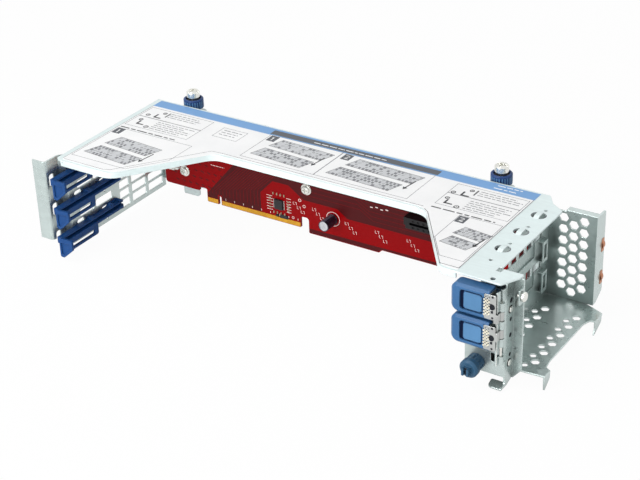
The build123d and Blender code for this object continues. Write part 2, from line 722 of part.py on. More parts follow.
# Blue lever handle: rounded free end, chamfered edges, thumb pad in the front face.
def make_lever(index):
    top = lever_top(index)
    bottom = top - LEVER_HEIGHT
    body = prism_xz([
        (LEVER_LEFT_X, bottom, 4.5),
        (LEVER_RIGHT_X, bottom, 0),
        (LEVER_RIGHT_X, top, 0),
        (LEVER_LEFT_X, top, 4.5),
    ], LEVER_FRONT_Y, LEVER_REAR_Y)
    front_edges = body.edges().filter_by_position(Axis.Y, LEVER_FRONT_Y - 0.01, LEVER_FRONT_Y + 0.01)
    rounded = [edge for edge in front_edges if edge.center().X < LEVER_RIGHT_X - 0.5]
    body = chamfer(rounded, 1.6)
    middle = (top + bottom) / 2
    pad = rectangle(-14.6, 0.2, middle - 6.4, middle + 6.4, 2)
    body = body - prism_xz(pad, LEVER_FRONT_Y - 1, LEVER_FRONT_Y + LEVER_PAD_DEPTH)
    thumb = prism_xz(rectangle(-12.2, -0.6, middle - 5.4, middle + 5.4, 1.5),
                     LEVER_FRONT_Y + 0.3, LEVER_FRONT_Y + LEVER_PAD_DEPTH + 0.1)
    body = body + thumb
    body = body - block(0.8, LEVER_RIGHT_X + 1, LEVER_FRONT_Y - 1, LEVER_FRONT_Y + SPRING_PLATE,
                        bottom - 1, top + 1)
    hollow = block(LEVER_LEFT_X + 3, LEVER_RIGHT_X - 6, LEVER_REAR_Y - 4.2, LEVER_REAR_Y + 1,
                   bottom + 2, top - 2)
    return body - hollow


# Steel lever fitting: dimpled front plate, side web and a knuckle on an arm
# that passes in front of the side plate.
def make_lever_fitting(index):
    top = lever_top(index)
    bottom = top - LEVER_HEIGHT
    middle = (top + bottom) / 2
    face_y = LEVER_FRONT_Y
    plate = prism_xz(rectangle(0.9, PIN_X - 0.7, bottom + 1.4, top - 1.4, 0.8),
                     face_y, face_y + SPRING_PLATE)
    plate = plate - rod_y(5.7, face_y - 1, face_y + 1, middle + 0.4, 2.0)
    for column in range(2):
        for row in range(4):
            x = 2.2 + column * 1.7
            z = middle - 5.4 + row * 3.6
            plate = plate + rod_y(x, face_y - 0.35, face_y + 0.1, z, 0.55)
    web = block(LEVER_RIGHT_X + 0.01, LEVER_RIGHT_X + 0.6, face_y + 0.1, LEVER_REAR_Y - 0.4,
                bottom + 1.4, top - 1.4)
    fitting = plate + web
    z = LEVER_KNUCKLE_Z[index]
    half = LEVER_KNUCKLE_LENGTH / 2
    arm = block(PIN_X - 0.2, PIN_X + 0.4, face_y, PIN_Y, z - half, z + half)
    bridge = block(PIN_X - 2, PIN_X + 0.4, face_y, face_y + SPRING_PLATE, z - half, z + half)
    knuckle = rod_z(PIN_X, PIN_Y, z - half, z + half, KNUCKLE_RADIUS - 0.3)
    fitting = fitting + arm + bridge + knuckle
    return fitting - rod_z(PIN_X, PIN_Y, -60, 0, PIN_RADIUS + PIN_CLEARANCE)


# Front knob: barrel with shallow flutes, smooth front ring, square slotted tip.
def make_knob():
    x, z = KNOB_AT
    y1 = POST_FRONT_Y - SHEET - KNOB_GAP
    y0 = y1 - KNOB_LENGTH
    barrel = rod_y(x, y0 + 3.6, y1, z, KNOB_RADIUS - 0.6)
    for index in range(KNOB_FLUTES):
        angle = math.radians(index * 360 / KNOB_FLUTES)
        cut_x = x + KNOB_RADIUS * math.cos(angle)
        cut_z = z + KNOB_RADIUS * math.sin(angle)
        barrel = barrel - rod_y(cut_x, y0 + 3, y1 - 2.0, cut_z, 1.1)
    ring = rod_y(x, y0, y0 + 4.4, z, KNOB_RADIUS)
    edge = ring.edges().filter_by(GeomType.CIRCLE).sort_by(Axis.Y)[0]
    ring = chamfer(edge, 1.3)
    half = KNOB_TIP / 2
    tip = block(x - half, x + half, y0 - 3.6, y0, z - half, z + half)
    slot = block(x - 0.9, x + 0.9, y0 - 4, y0 - 1.8, z - 4, z + 4)
    knob = barrel + ring + (tip - slot)
    return knob - rod_y(x, y1 - 6, y1 + 1, z, KNOB_SHANK_RADIUS)


def make_knob_screw():
    x, z = KNOB_AT
    y1 = POST_FRONT_Y - SHEET - KNOB_GAP
    shank = rod_y(x, y1 - 6, y1 + 7, z, KNOB_SHANK_RADIUS)
    start = POST_FRONT_Y + KNOB_GAP
    washer = rod_y(x, start, start + 0.9, z, KNOB_SHANK_RADIUS + 1.4)
    return shank + washer


# Riser board with its edge tongues.
def make_board():
    board = prism_xz([
        (BOARD_LEFT_X, BOARD_TOP_Z, 2),
        (BOARD_LEFT_X, BOARD_LEFT_BOTTOM_Z, 2),
        (EDGE_X[0] - EDGE_NOTCH[0], BOARD_LEFT_BOTTOM_Z, 1),
        (EDGE_X[0] - EDGE_NOTCH[0], EDGE_NOTCH[1], 1.4),
        (EDGE_X[0], EDGE_NOTCH[1], 1.4),
        (EDGE_X[0], EDGE_BOTTOM_Z, 0.6),
        (KEY_X[0], EDGE_BOTTOM_Z, 0),
        (KEY_X[0], EDGE_BOTTOM_Z + 6.5, 1.1),
        (KEY_X[1], EDGE_BOTTOM_Z + 6.5, 1.1),
        (KEY_X[1], EDGE_BOTTOM_Z, 0),
        (EDGE_X[1], EDGE_BOTTOM_Z, 0.6),
        (EDGE_X[1], EDGE_RELIEF_Z, 2),
        (EDGE_RELIEF_X, EDGE_RELIEF_Z, 2),
        (EDGE_RELIEF_X, MIDDLE_BOTTOM_Z, 0.8),
        (STEP_X - 1.2, MIDDLE_BOTTOM_Z, 0.5),
        (STEP_X + 1.2, RIGHT_BOTTOM_Z, 0.5),
        (BOARD_RIGHT_X, RIGHT_BOTTOM_Z, 2),
        (BOARD_RIGHT_X, BOARD_TOP_Z, 2),
    ], BOARD_FRONT_Y, BOARD_FRONT_Y + BOARD_THICKNESS)
    for x, z in BOARD_HOLES:
        board = board - rod_y(x, BOARD_FRONT_Y - 1, BOARD_FRONT_Y + 3, z, BOARD_HOLE_RADIUS)
    return board


def make_edge_contacts():
    pads = []
    y1 = BOARD_FRONT_Y
    z0 = EDGE_BOTTOM_Z + 0.3
    for start, end in ((EDGE_X[0], KEY_X[0]), (KEY_X[1], EDGE_X[1])):
        count = int((end - start - 1.0) / CONTACT_PITCH)
        first = (start + end) / 2 - (count - 1) * CONTACT_PITCH / 2
        for index in range(count):
            x = first + index * CONTACT_PITCH
            half = CONTACT_WIDTH / 2
            pads.append(block(x - half, x + half, y1 - CONTACT_THICKNESS, y1, z0, z0 + CONTACT_HEIGHT))
    return together(pads)


# Slot connector: long housing with a card slot and a latch post at its inner end.
def make_socket(index):
    z = SOCKET_FIRST_Z - index * SLOT_PITCH
    half = SOCKET_HEIGHT / 2
    x0, x1 = SOCKET_X
    y1 = BOARD_FRONT_Y
    y0 = y1 - SOCKET_DEPTH
    housing = block(x0, x1, y0, y1, z - half, z + half)
    housing = housing - block(x0 + 3, x1 - 3, y0 - 1, y0 + 8, z - 0.9, z + 0.9)
    housing = housing + block(x1 - 16, x1 - 14, y0, y1, z - half, z + half)
    for rib in range(18):
        x = x0 + 5 + rib * 3.9
        housing = housing - block(x, x + 1.6, y0 - 1, y0 + 0.6, z + 1.5, z + 2.9)
        housing = housing - block(x, x + 1.6, y0 - 1, y0 + 0.6, z - 2.9, z - 1.5)
    latch = block(x0 - 2.4, x0, y0 + 2, y1, z - half + 1, z + half - 1)
    return housing + latch


# Radial capacitor standing out from the board, aluminium can with a vent cross and a sleeve.
def make_capacitor():
    x, z = CAPACITOR_AT
    y1 = BOARD_FRONT_Y - 0.6
    y0 = y1 - CAPACITOR_LENGTH + 0.6
    sleeve = rod_y(x, y0, y1, z, CAPACITOR_RADIUS)
    sleeve = sleeve - rod_y(x, y0 - 1, y0 + 0.5, z, CAPACITOR_RADIUS - 0.7)
    for turn in (0, 60, 120):
        cut = Pos(x, y0 + 0.5, z) * Rotation(0, turn, 0) * Box(4.2, 0.5, 0.4)
        sleeve = sleeve - cut
    groove = rod_y(x, y1 - 1.9, y1 - 1.1, z, CAPACITOR_RADIUS + 1)
    groove = groove - rod_y(x, y1 - 2.5, y1, z, CAPACITOR_RADIUS - 0.35)
    bung = rod_y(x, y1, BOARD_FRONT_Y, z, CAPACITOR_RADIUS - 1.2)
    return (sleeve - groove) + bung


def make_chip():
    x, z = CHIP_AT
    half = CHIP_SIZE / 2
    y1 = BOARD_FRONT_Y
    body = block(x - half + 1.2, x + half - 1.2, y1 - 1.7, y1 - 0.1, z - half + 0.9, z + half - 0.9)
    body = body - rod_y(x - 2.2, y1 - 2, y1 - 1.5, z + 2.5, 0.4)
    for side in (-1, 1):
        for index in range(7):
            pin_z = z - 3.0 + index
            edge = x + side * (half - 1.2)
            tip = x + side * (half - 0.1)
            body = body + block(min(edge, tip), max(edge, tip), y1 - 0.45, y1, pin_z - 0.22, pin_z + 0.22)
            body = body + block(edge - 0.3, edge + 0.3, y1 - 0.9, y1 - 0.1, pin_z - 0.22, pin_z + 0.22)
    return body


# Small chip parts round the regulator chip, all of one kind.
def make_chip_parts():
    spots = []
    x, z = CHIP_AT
    for index in range(4):
        spots.append((x - 7.4, z - 3.6 + index * 2.4, 0))
        spots.append((x + 7.6, z - 3.6 + index * 2.4, 0))
    for index in range(4):
        spots.append((x - 4.6 + index * 3.0, z + 7.4, 1))
        spots.append((x - 4.6 + index * 3.0, z - 6.9, 1))
    solids = []
    for px, pz, upright in spots:
        wide, tall = (0.8, 1.6) if upright else (1.6, 0.8)
        y1 = BOARD_FRONT_Y
        solids.append(block(px - wide / 2, px + wide / 2, y1 - 0.7, y1, pz - tall / 2, pz + tall / 2))
    return together(solids)


def make_board_screws():
    screws = []
    for x, z in BOARD_HOLES:
        y = BOARD_FRONT_Y
        head = rod_y(x, y - 2.7, y - 0.8, z, 3.0)
        edge = head.edges().filter_by(GeomType.CIRCLE).sort_by(Axis.Y)[0]
        head = chamfer(edge, 0.6)
        cross = block(x - 1.8, x + 1.8, y - 3, y - 1.9, z - 0.35, z + 0.35)
        cross = cross + block(x - 0.35, x + 0.35, y - 3, y - 1.9, z - 1.8, z + 1.8)
        washer = rod_y(x, y - 0.8, y, z, 4.0)
        shank = rod_y(x, y - 1, -2.2, z, BOARD_HOLE_RADIUS - 0.4)
        screws.append((head - cross) + washer + shank)
    return together(screws)


def make_board_spacers():
    spacers = []
    for x, z in BOARD_HOLES:
        body = rod_y(x, BOARD_FRONT_Y + BOARD_THICKNESS, -SHEET, z, 3.2)
        hole = rod_y(x, BOARD_FRONT_Y, 1, z, BOARD_HOLE_RADIUS - 0.1)
        spacers.append(body - hole)
    return together(spacers)


def make_board_clip():
    y1 = BOARD_FRONT_Y
    body = block(-308.5, -300.5, y1 - 3.4, y1, -46.6, -43.8)
    nose = prism_xz([
        (-300.5, -46.6, 0),
        (-297.6, -46.0, 0.6),
        (-297.6, -44.6, 0.6),
        (-300.5, -43.8, 0),
    ], y1 - 2.2, y1)
    return body + nose


# Shouldered stud on the ear of the post, round head outwards.
def make_post_stud():
    y = BAND_Y - 2.2
    z = -10.6
    shank = rod_x(BAND_RIGHT_X - 2.4, BAND_RIGHT_X + 0.8, y, z, 1.4)
    collar = rod_x(BAND_RIGHT_X, BAND_RIGHT_X + 0.8, y, z, 2.2)
    head = rod_x(BAND_RIGHT_X + 0.8, BAND_RIGHT_X + 2.4, y, z, 3.0)
    edge = head.edges().filter_by(GeomType.CIRCLE).sort_by(Axis.X)[-1]
    head = chamfer(edge, 0.6)
    return shank + collar + head


def make_post_rivets():
    rivets = []
    for z in (-19.6, -55.3):
        head = rod_x(POST_X, POST_X + 0.9, -102.2, z, 1.9)
        edge = head.edges().filter_by(GeomType.CIRCLE).sort_by(Axis.X)[-1]
        head = chamfer(edge, 0.4)
        rivets.append(head + rod_x(POST_X - 1.8, POST_X, -102.2, z, 1.1))
    return together(rivets)


# Captive thumbscrew: ferrule in the ear, spring, knurled collar and steel screw.
def make_thumb_ferrule(x):
    base = rod_z(x, THUMB_Y, EAR_Z, EAR_Z + 0.8, FERRULE_RADIUS)
    neck = rod_z(x, THUMB_Y, EAR_Z - SHEET, EAR_Z, FERRULE_RADIUS - 1.2)
    tail = rod_z(x, THUMB_Y, EAR_Z - SHEET - 0.6, EAR_Z - SHEET, FERRULE_RADIUS - 0.8)
    return (base + neck + tail) - rod_z(x, THUMB_Y, -20, 0, SCREW_SHANK_RADIUS + FIT_GAP)


# Corner points of the spring wire's square section at one step along the coil.
def coil_section(low, step, rise):
    angle = math.radians(step * 360 / COIL_SIDES)
    height = low + step * rise
    corners = []
    for radial, upright in ((-1, -1), (1, -1), (1, 1), (-1, 1)):
        radius = COIL_RADIUS + radial * COIL_WIRE
        corners.append((radius * math.cos(angle), radius * math.sin(angle), height + upright * COIL_WIRE))
    return corners


def flat_face(points):
    return Face(Wire.make_polygon([Vector(*point) for point in points], close=True))


# Compression spring as a run of straight wire lengths, each side of a length two flat triangles.
def make_thumb_spring(x):
    low = EAR_Z + 0.8 + COIL_WIRE
    high = COLLAR_BASE_Z + COLLAR_WEB[0] - COIL_WIRE
    steps = COIL_TURNS * COIL_SIDES
    rise = (high - low) / steps
    sections = [coil_section(low, step, rise) for step in range(steps + 1)]
    faces = [flat_face(sections[0]), flat_face(sections[-1])]
    for step in range(steps):
        here = sections[step]
        there = sections[step + 1]
        for corner in range(4):
            after = (corner + 1) % 4
            faces.append(flat_face([here[corner], here[after], there[after]]))
            faces.append(flat_face([here[corner], there[after], there[corner]]))
    return Pos(x, THUMB_Y, 0) * Solid(Shell(faces))


def make_thumb_collar(x):
    body = rod_z(x, THUMB_Y, COLLAR_BASE_Z, COLLAR_RIM_Z, COLLAR_RADIUS)
    top_edge = body.edges().filter_by(GeomType.CIRCLE).sort_by(Axis.Z)[-1]
    body = chamfer(top_edge, 0.6)
    inside = COLLAR_RADIUS - COLLAR_WALL
    body = body - rod_z(x, THUMB_Y, COLLAR_BASE_Z + COLLAR_WEB[1], COLLAR_RIM_Z + 1, inside)
    body = body - rod_z(x, THUMB_Y, COLLAR_BASE_Z - 1, COLLAR_BASE_Z + COLLAR_WEB[0], inside)
    for index in range(COLLAR_FLUTES):
        angle = math.radians(index * 360 / COLLAR_FLUTES)
        turn = index * 360 / COLLAR_FLUTES
        cut_x = x + COLLAR_RADIUS * math.cos(angle)
        cut_y = THUMB_Y + COLLAR_RADIUS * math.sin(angle)
        flute = Box(0.9, 0.9, COLLAR_RIM_Z - COLLAR_BASE_Z)
        middle_z = (COLLAR_RIM_Z + COLLAR_BASE_Z) / 2 - 1.0
        body = body - Pos(cut_x, cut_y, middle_z) * Rotation(0, 0, turn + 45) * flute
    return body - rod_z(x, THUMB_Y, -20, 5, SCREW_SHANK_RADIUS)


# The thread's shoulder under the ferrule keeps the screw in the ear.
def make_thumb_screw(x):
    floor_z = COLLAR_BASE_Z + COLLAR_WEB[1]
    thread = rod_z(x, THUMB_Y, SCREW_END_Z, SCREW_THREAD_TOP_Z, SCREW_THREAD_RADIUS)
    bottom_edge = thread.edges().filter_by(GeomType.CIRCLE).sort_by(Axis.Z)[0]
    thread = chamfer(bottom_edge, 0.6)
    shank = rod_z(x, THUMB_Y, SCREW_THREAD_TOP_Z, floor_z, SCREW_SHANK_RADIUS)
    neck = rod_z(x, THUMB_Y, floor_z, SCREW_HEAD_TOP_Z - 4.5, SCREW_HEAD_RADIUS - 1.2)
    head = rod_z(x, THUMB_Y, SCREW_HEAD_TOP_Z - 4.5, SCREW_HEAD_TOP_Z, SCREW_HEAD_RADIUS)
    rim = head.edges().filter_by(GeomType.CIRCLE).sort_by(Axis.Z)[-1]
    head = chamfer(rim, 1.0)
    socket = extrude(Pos(x, THUMB_Y, SCREW_HEAD_TOP_Z - 2.2) * hexagon(1.9, 0), 4)
    for turn in (0, 90):
        slot = Pos(x, THUMB_Y, SCREW_HEAD_TOP_Z) * Rotation(0, 0, turn) * Box(12, 1.2, 1.6)
        head = head - slot
    return thread + shank + neck + (head - socket)


# Rivets that hold the left panel lip to the top plate, seen from below only.
def make_panel_rivets():
    rivets = []
    for y in (-16.0, -88.0):
        x = PANEL_X + 6
        rivets.append(rod_z(x, y, -2 * SHEET - 0.8, -2 * SHEET, 1.8))
    return together(rivets)


NODES = {
    "top_sheet": make_top_sheet(),
    "label_film": make_label(),
    "left_panel": make_left_panel(),
    "card_guide_upper": make_guide(0),
    "card_guide_middle": make_guide(1),
    "card_guide_lower": make_guide(2),
    "slot_frame": make_slot_frame(),
    "vent_panel": make_vent_panel(),
    "spring_fingers": make_spring_fingers(),
    "slot_cover_upper": make_cover(0),
    "slot_cover_lower": make_cover(1),
    "riser_board": make_board(),
    "edge_contacts": make_edge_contacts(),
    "slot_socket_upper": make_socket(0),
    "slot_socket_lower": make_socket(1),
    "capacitor": make_capacitor(),
    "regulator_chip": make_chip(),
    "chip_parts": make_chip_parts(),
    "board_screws": make_board_screws(),
    "board_spacers": make_board_spacers(),
    "board_clip": make_board_clip(),
    "hinge_plate": make_hinge_plate(),
    "hinge_pin": make_hinge_pin(),
    "lever_upper": make_lever(0),
    "lever_lower": make_lever(1),
    "lever_fitting_upper": make_lever_fitting(0),
    "lever_fitting_lower": make_lever_fitting(1),
    "front_knob": make_knob(),
    "front_knob_screw": make_knob_screw(),
    "post_stud": make_post_stud(),
    "post_rivets": make_post_rivets(),
    "panel_rivets": make_panel_rivets(),
}
for side, thumb_x in zip(("left", "right"), THUMB_X):
    NODES["thumb_ferrule_" + side] = make_thumb_ferrule(thumb_x)
    NODES["thumb_spring_" + side] = make_thumb_spring(thumb_x)
    NODES["thumb_collar_" + side] = make_thumb_collar(thumb_x)
    NODES["thumb_screw_" + side] = make_thumb_screw(thumb_x)

# Origin at the bottom centre of the whole riser.
ORIGIN_X = (FLANGE_LEFT_X + HOOK_X) / 2
ORIGIN_Y = (THUMB_Y + EAR_RADIUS + POST_FRONT_Y - SHEET - KNOB_GAP - KNOB_LENGTH - 3.6) / 2
ORIGIN_Z = FLOOR_Z - HOOK_DROP

for name, shape in NODES.items():
    export_step(Pos(-ORIGIN_X, -ORIGIN_Y, -ORIGIN_Z) * shape, "parts/" + name + ".step")
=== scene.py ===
"""Looks of a server riser cage, dressed over its fixed frame."""
import logging
import math
import random
from dataclasses import dataclass
from enum import Enum
from typing import Any, Iterable, Optional, Union

import bmesh
import bpy
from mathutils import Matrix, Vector


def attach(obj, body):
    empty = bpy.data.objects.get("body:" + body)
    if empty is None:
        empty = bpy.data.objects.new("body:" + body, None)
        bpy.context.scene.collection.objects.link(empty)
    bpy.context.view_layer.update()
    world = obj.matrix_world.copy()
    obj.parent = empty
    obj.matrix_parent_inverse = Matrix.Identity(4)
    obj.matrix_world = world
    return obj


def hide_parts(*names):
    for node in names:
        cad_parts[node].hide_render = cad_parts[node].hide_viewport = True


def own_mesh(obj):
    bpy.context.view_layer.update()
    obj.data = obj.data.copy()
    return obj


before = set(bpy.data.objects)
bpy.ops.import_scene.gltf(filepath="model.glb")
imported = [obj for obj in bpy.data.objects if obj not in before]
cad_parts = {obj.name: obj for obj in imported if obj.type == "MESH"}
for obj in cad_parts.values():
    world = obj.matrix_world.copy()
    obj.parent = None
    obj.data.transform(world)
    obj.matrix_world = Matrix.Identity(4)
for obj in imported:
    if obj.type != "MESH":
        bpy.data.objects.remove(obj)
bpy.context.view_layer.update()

logging.basicConfig(level=logging.INFO, format="%(name)s: %(message)s")
log = logging.getLogger("riser")

# The cage is measured from the slot end edge of its top plate, its back face and its
# plate's top face; this is the same zero in the frame, all in millimetres.
CAGE_ZERO = Vector((150.35, 53.075, 71.0))
MM_PER_M = 1000.0
BODY = "cage"
COIL_STEPS = 24
WIRE_SIDES = 8

Point = tuple[float, float]
Colour = tuple[float, float, float, float]
Value = Union[float, "Wire"]


def at(x: float, y: float, z: float) -> Vector:
    """Turns a place on the cage, in millimetres, into the frame's metres."""
    return (Vector((x, y, z)) + CAGE_ZERO) / MM_PER_M


def paint(red: int, green: int, blue: int) -> Colour:
    """Turns a paint chart colour, 0 to 255, into the linear colour a shader takes."""
    def linear(part: int) -> float:
        """Linear value of one part of the colour."""
        share = part / 255.0
        return share / 12.92 if share <= 0.04045 else ((share + 0.055) / 1.055) ** 2.4
    return (linear(red), linear(green), linear(blue), 1.0)


def shade(colour: Colour, factor: float, lift: float = 0.0) -> Colour:
    """A colour made darker or lighter by a factor, and lifted a little."""
    return tuple(min(1.0, part * factor + lift) for part in colour[:3]) + (1.0,)


class Wire:
    """A socket that takes part in sums, adding its own math nodes."""

    def __init__(self, graph: "Graph", socket: bpy.types.NodeSocket) -> None:
        """Keeps the graph and the socket."""
        self.graph = graph
        self.socket = socket

    def _sum(self, operation: str, first: Value, second: Value = 0.0) -> "Wire":
        """One math node on two values."""
        node = self.graph.add("ShaderNodeMath", {"operation": operation}, {0: first, 1: second})
        return self.graph.out(node)

    def __add__(self, other: Value) -> "Wire":
        """Sum."""
        return self._sum("ADD", self, other)

    __radd__ = __add__

    def __sub__(self, other: Value) -> "Wire":
        """Difference."""
        return self._sum("SUBTRACT", self, other)

    def __rsub__(self, other: Value) -> "Wire":
        """Reflected difference."""
        return self._sum("SUBTRACT", other, self)

    def __mul__(self, other: Value) -> "Wire":
        """Product."""
        return self._sum("MULTIPLY", self, other)

    __rmul__ = __mul__

    def __truediv__(self, other: Value) -> "Wire":
        """Quotient."""
        return self._sum("DIVIDE", self, other)

    def __pow__(self, other: Value) -> "Wire":
        """Power."""
        return self._sum("POWER", self, other)

    def __lt__(self, other: Value) -> "Wire":
        """1 where it is less than the other."""
        return self._sum("LESS_THAN", self, other)

    def __gt__(self, other: Value) -> "Wire":
        """1 where it is greater than the other."""
        return self._sum("GREATER_THAN", self, other)

    def clamped(self) -> "Wire":
        """The value held between 0 and 1."""
        return self._sum("MINIMUM", self._sum("MAXIMUM", self, 0.0), 1.0)


class Graph:
    """A node tree that is filled from Python."""

    def __init__(self, tree: bpy.types.NodeTree) -> None:
        """Keeps the tree."""
        self.tree = tree

    def add(self, kind: str, settings: Optional[dict[str, Any]] = None,
            sockets: Optional[dict[Any, Any]] = None) -> bpy.types.Node:
        """Adds one node.

        Args:
            kind: The node's type name.
            settings: Attributes that are set first.
            sockets: Values or links by the input's name or place.

        Returns:
            The new node.
        """
        node = self.tree.nodes.new(kind)
        for key, value in (settings or {}).items():
            setattr(node, key, value)
        for key, value in (sockets or {}).items():
            if isinstance(value, Wire):
                self.tree.links.new(value.socket, node.inputs[key])
            elif isinstance(value, bpy.types.NodeSocket):
                self.tree.links.new(value, node.inputs[key])
            else:
                node.inputs[key].default_value = value
        return node

    def out(self, node: bpy.types.Node, name: Union[str, int] = 0) -> Wire:
        """The wire of a node's output."""
        return Wire(self, node.outputs[name])

    def sees_background(self) -> Wire:
        """1 for rays of the camera, of gloss and through glass, 0 for light."""
        path = self.add("ShaderNodeLightPath")
        rays = self.out(path, "Is Camera Ray") + self.out(path, "Is Glossy Ray")
        return (rays + self.out(path, "Is Transmission Ray")).clamped()


class Skin(Graph):
    """A surface's shader, with the patterns that the finishes share."""

    def __init__(self, name: str) -> None:
        """Starts an empty material of that name."""
        self.material = bpy.data.materials.new(name + "_skin")
        self.material.use_nodes = True
        super().__init__(self.material.node_tree)
        self.tree.nodes.clear()
        self.where = self.out(self.add("ShaderNodeTexCoord"), "Object")

    def stretched(self, scale: tuple[float, float, float]) -> Wire:
        """Object coordinates, stretched along each axis."""
        node = self.add("ShaderNodeMapping", None, {"Vector": self.where, "Scale": scale})
        return self.out(node)

    def noise(self, scale: float, detail: float = 3.0, place: Optional[Wire] = None) -> Wire:
        """Soft noise, about 0.5 in the mean."""
        node = self.add("ShaderNodeTexNoise", None, {
            "Vector": place or self.where, "Scale": scale, "Detail": detail})
        return self.out(node, 0)

    def cells(self, scale: float) -> Wire:
        """A value of its own for each of many small cells."""
        node = self.add("ShaderNodeTexVoronoi", None, {"Vector": self.where, "Scale": scale})
        return self.out(self.add("ShaderNodeSeparateColor", None, {0: self.out(node, "Color")}))

    def axis(self, name: str) -> Wire:
        """One of the object's own coordinates, in millimetres from the cage's zero."""
        node = self.add("ShaderNodeSeparateXYZ", None, {0: self.where})
        return self.out(node, name) * MM_PER_M - CAGE_ZERO["XYZ".index(name)]

    def soft_edge(self, radius: float) -> tuple[Wire, Wire]:
        """The normal with its edges rounded, and a mask that is 1 on those edges."""
        bevel = self.add("ShaderNodeBevel", {"samples": 4}, {"Radius": radius})
        flat = self.add("ShaderNodeNewGeometry")
        dot = self.add("ShaderNodeVectorMath", {"operation": "DOT_PRODUCT"}, {
            0: self.out(bevel), 1: self.out(flat, "Normal")})
        mask = ((1.0 - self.out(dot, "Value")) * 6.0).clamped()
        return self.out(bevel), mask

    def tint(self, share: Value, first: Any, second: Any) -> Wire:
        """A mix of two colours."""
        node = self.add("ShaderNodeMix", {"data_type": "RGBA"}, {0: share, 6: first, 7: second})
        return self.out(node, 2)

    def bump(self, height: Wire, depth: float, normal: Optional[Wire] = None) -> Wire:
        """A normal that carries a fine relief of that depth in metres."""
        sockets: dict[str, Any] = {"Height": height, "Distance": depth, "Strength": 0.6}
        if normal is not None:
            sockets["Normal"] = normal
        return self.out(self.add("ShaderNodeBump", None, sockets))

    def finish(self, **sockets: Any) -> bpy.types.Material:
        """Closes the shader with its surface and gives the material."""
        named = {key.replace("_", " "): value for key, value in sockets.items()}
        surface = self.add("ShaderNodeBsdfPrincipled", None, named)
        self.add("ShaderNodeOutputMaterial", None, {0: self.out(surface)})
        return self.material


@dataclass(frozen=True)
class SheetSteel:
    """Zinc-coated sheet: faint spangle, rolling grain, handling smudges, bright cut edges, painted
    shade in corners and folds.
    """

    name: str
    colour: Colour
    metallic: float = 0.72
    roughness: float = 0.40
    spangle: float = 0.10

    def make(self) -> bpy.types.Material:
        """Builds the material."""
        skin = Skin(self.name)
        normal, edge = skin.soft_edge(0.0005)
        grain = skin.noise(60.0, 4.0, skin.stretched((1.0, 14.0, 14.0)))
        smudge = skin.noise(22.0, 3.0)
        spangle = skin.cells(260.0)
        share = (0.45 + (spangle - 0.5) * self.spangle * 2.0 + (grain - 0.5) * 0.4
                 + (smudge - 0.5) * 0.3).clamped()
        body = skin.tint(share, shade(self.colour, 0.80), shade(self.colour, 1.10))
        # Painted shade: ambient occlusion darkens the colour in corners, folds and narrow gaps.
        shade_occlusion = skin.add("ShaderNodeAmbientOcclusion", {"samples": 6}, {"Distance": 0.014})
        unshaded_share = (skin.out(shade_occlusion, "AO") * 1.5 - 0.3).clamped()
        cut = skin.tint(edge * 0.7, body, shade(self.colour, 1.25))
        colour = skin.tint(unshaded_share, shade(self.colour, 0.42), cut)
        rough = (self.roughness + (smudge - 0.5) * 0.25 + (spangle - 0.5) * 0.08
                 - edge * 0.08).clamped()
        return skin.finish(
            Base_Color=colour, Metallic=self.metallic, Roughness=rough,
            Normal=skin.bump(grain, 0.00003, normal))


@dataclass(frozen=True)
class Moulded:
    """Moulded plastic: spark-eroded grain, slight flow marks, paler rubbed edges."""

    name: str
    colour: Colour
    roughness: float = 0.45
    grain: float = 0.00004
    edge: float = 0.0006
    shine: float = 0.3

    def make(self) -> bpy.types.Material:
        """Builds the material."""
        skin = Skin(self.name)
        normal, worn = skin.soft_edge(self.edge)
        fine = skin.noise(2600.0, 2.0)
        flow = skin.noise(40.0, 3.0)
        body = skin.tint(flow, shade(self.colour, 0.82), shade(self.colour, 1.12, 0.004))
        rubbed = shade(self.colour, 1.35, 0.02)
        return skin.finish(
            Base_Color=skin.tint(worn * 0.5, body, rubbed),
            Roughness=(self.roughness + (fine - 0.5) * 0.2 + (flow - 0.5) * 0.12).clamped(),
            Specular_IOR_Level=self.shine,
            Normal=skin.bump(fine, self.grain, normal))


@dataclass(frozen=True)
class Plated:
    """Plated or bare metal: turning grain, small pits, polished edges."""

    name: str
    colour: Colour
    roughness: float = 0.28
    scale: float = 400.0

    def make(self) -> bpy.types.Material:
        """Builds the material."""
        skin = Skin(self.name)
        normal, edge = skin.soft_edge(0.0003)
        grain = skin.noise(self.scale, 4.0)
        dull = skin.noise(90.0, 2.0)
        share = (0.4 + (dull - 0.5) * 0.9 + edge * 0.4).clamped()
        return skin.finish(
            Base_Color=skin.tint(share, shade(self.colour, 0.72), shade(self.colour, 1.15)),
            Metallic=0.95,
            Roughness=(self.roughness + (dull - 0.5) * 0.3 - edge * 0.06).clamped(),
            Normal=skin.bump(grain, 0.00002, normal))


@dataclass(frozen=True)
class Film:
    """Printed film or solder mask: smooth, with faint waviness and dust."""

    name: str
    colour: Colour
    roughness: float = 0.38
    shine: float = 0.35
    weave: float = 0.0

    def make(self) -> bpy.types.Material:
        """Builds the material."""
        skin = Skin(self.name)
        wave = skin.noise(55.0, 3.0)
        dust = skin.noise(900.0, 2.0)
        height = wave
        if self.weave:
            height = wave + skin.noise(1500.0, 1.0, skin.stretched((1.0, 1.0, 3.0))) * self.weave
        share = (0.5 + (wave - 0.5) + (dust - 0.5) * 0.4).clamped()
        return skin.finish(
            Base_Color=skin.tint(share, shade(self.colour, 0.90), shade(self.colour, 1.05)),
            Roughness=(self.roughness + (dust - 0.5) * 0.16 + (wave - 0.5) * 0.12).clamped(),
            Specular_IOR_Level=self.shine,
            Normal=skin.bump(height, 0.00003))


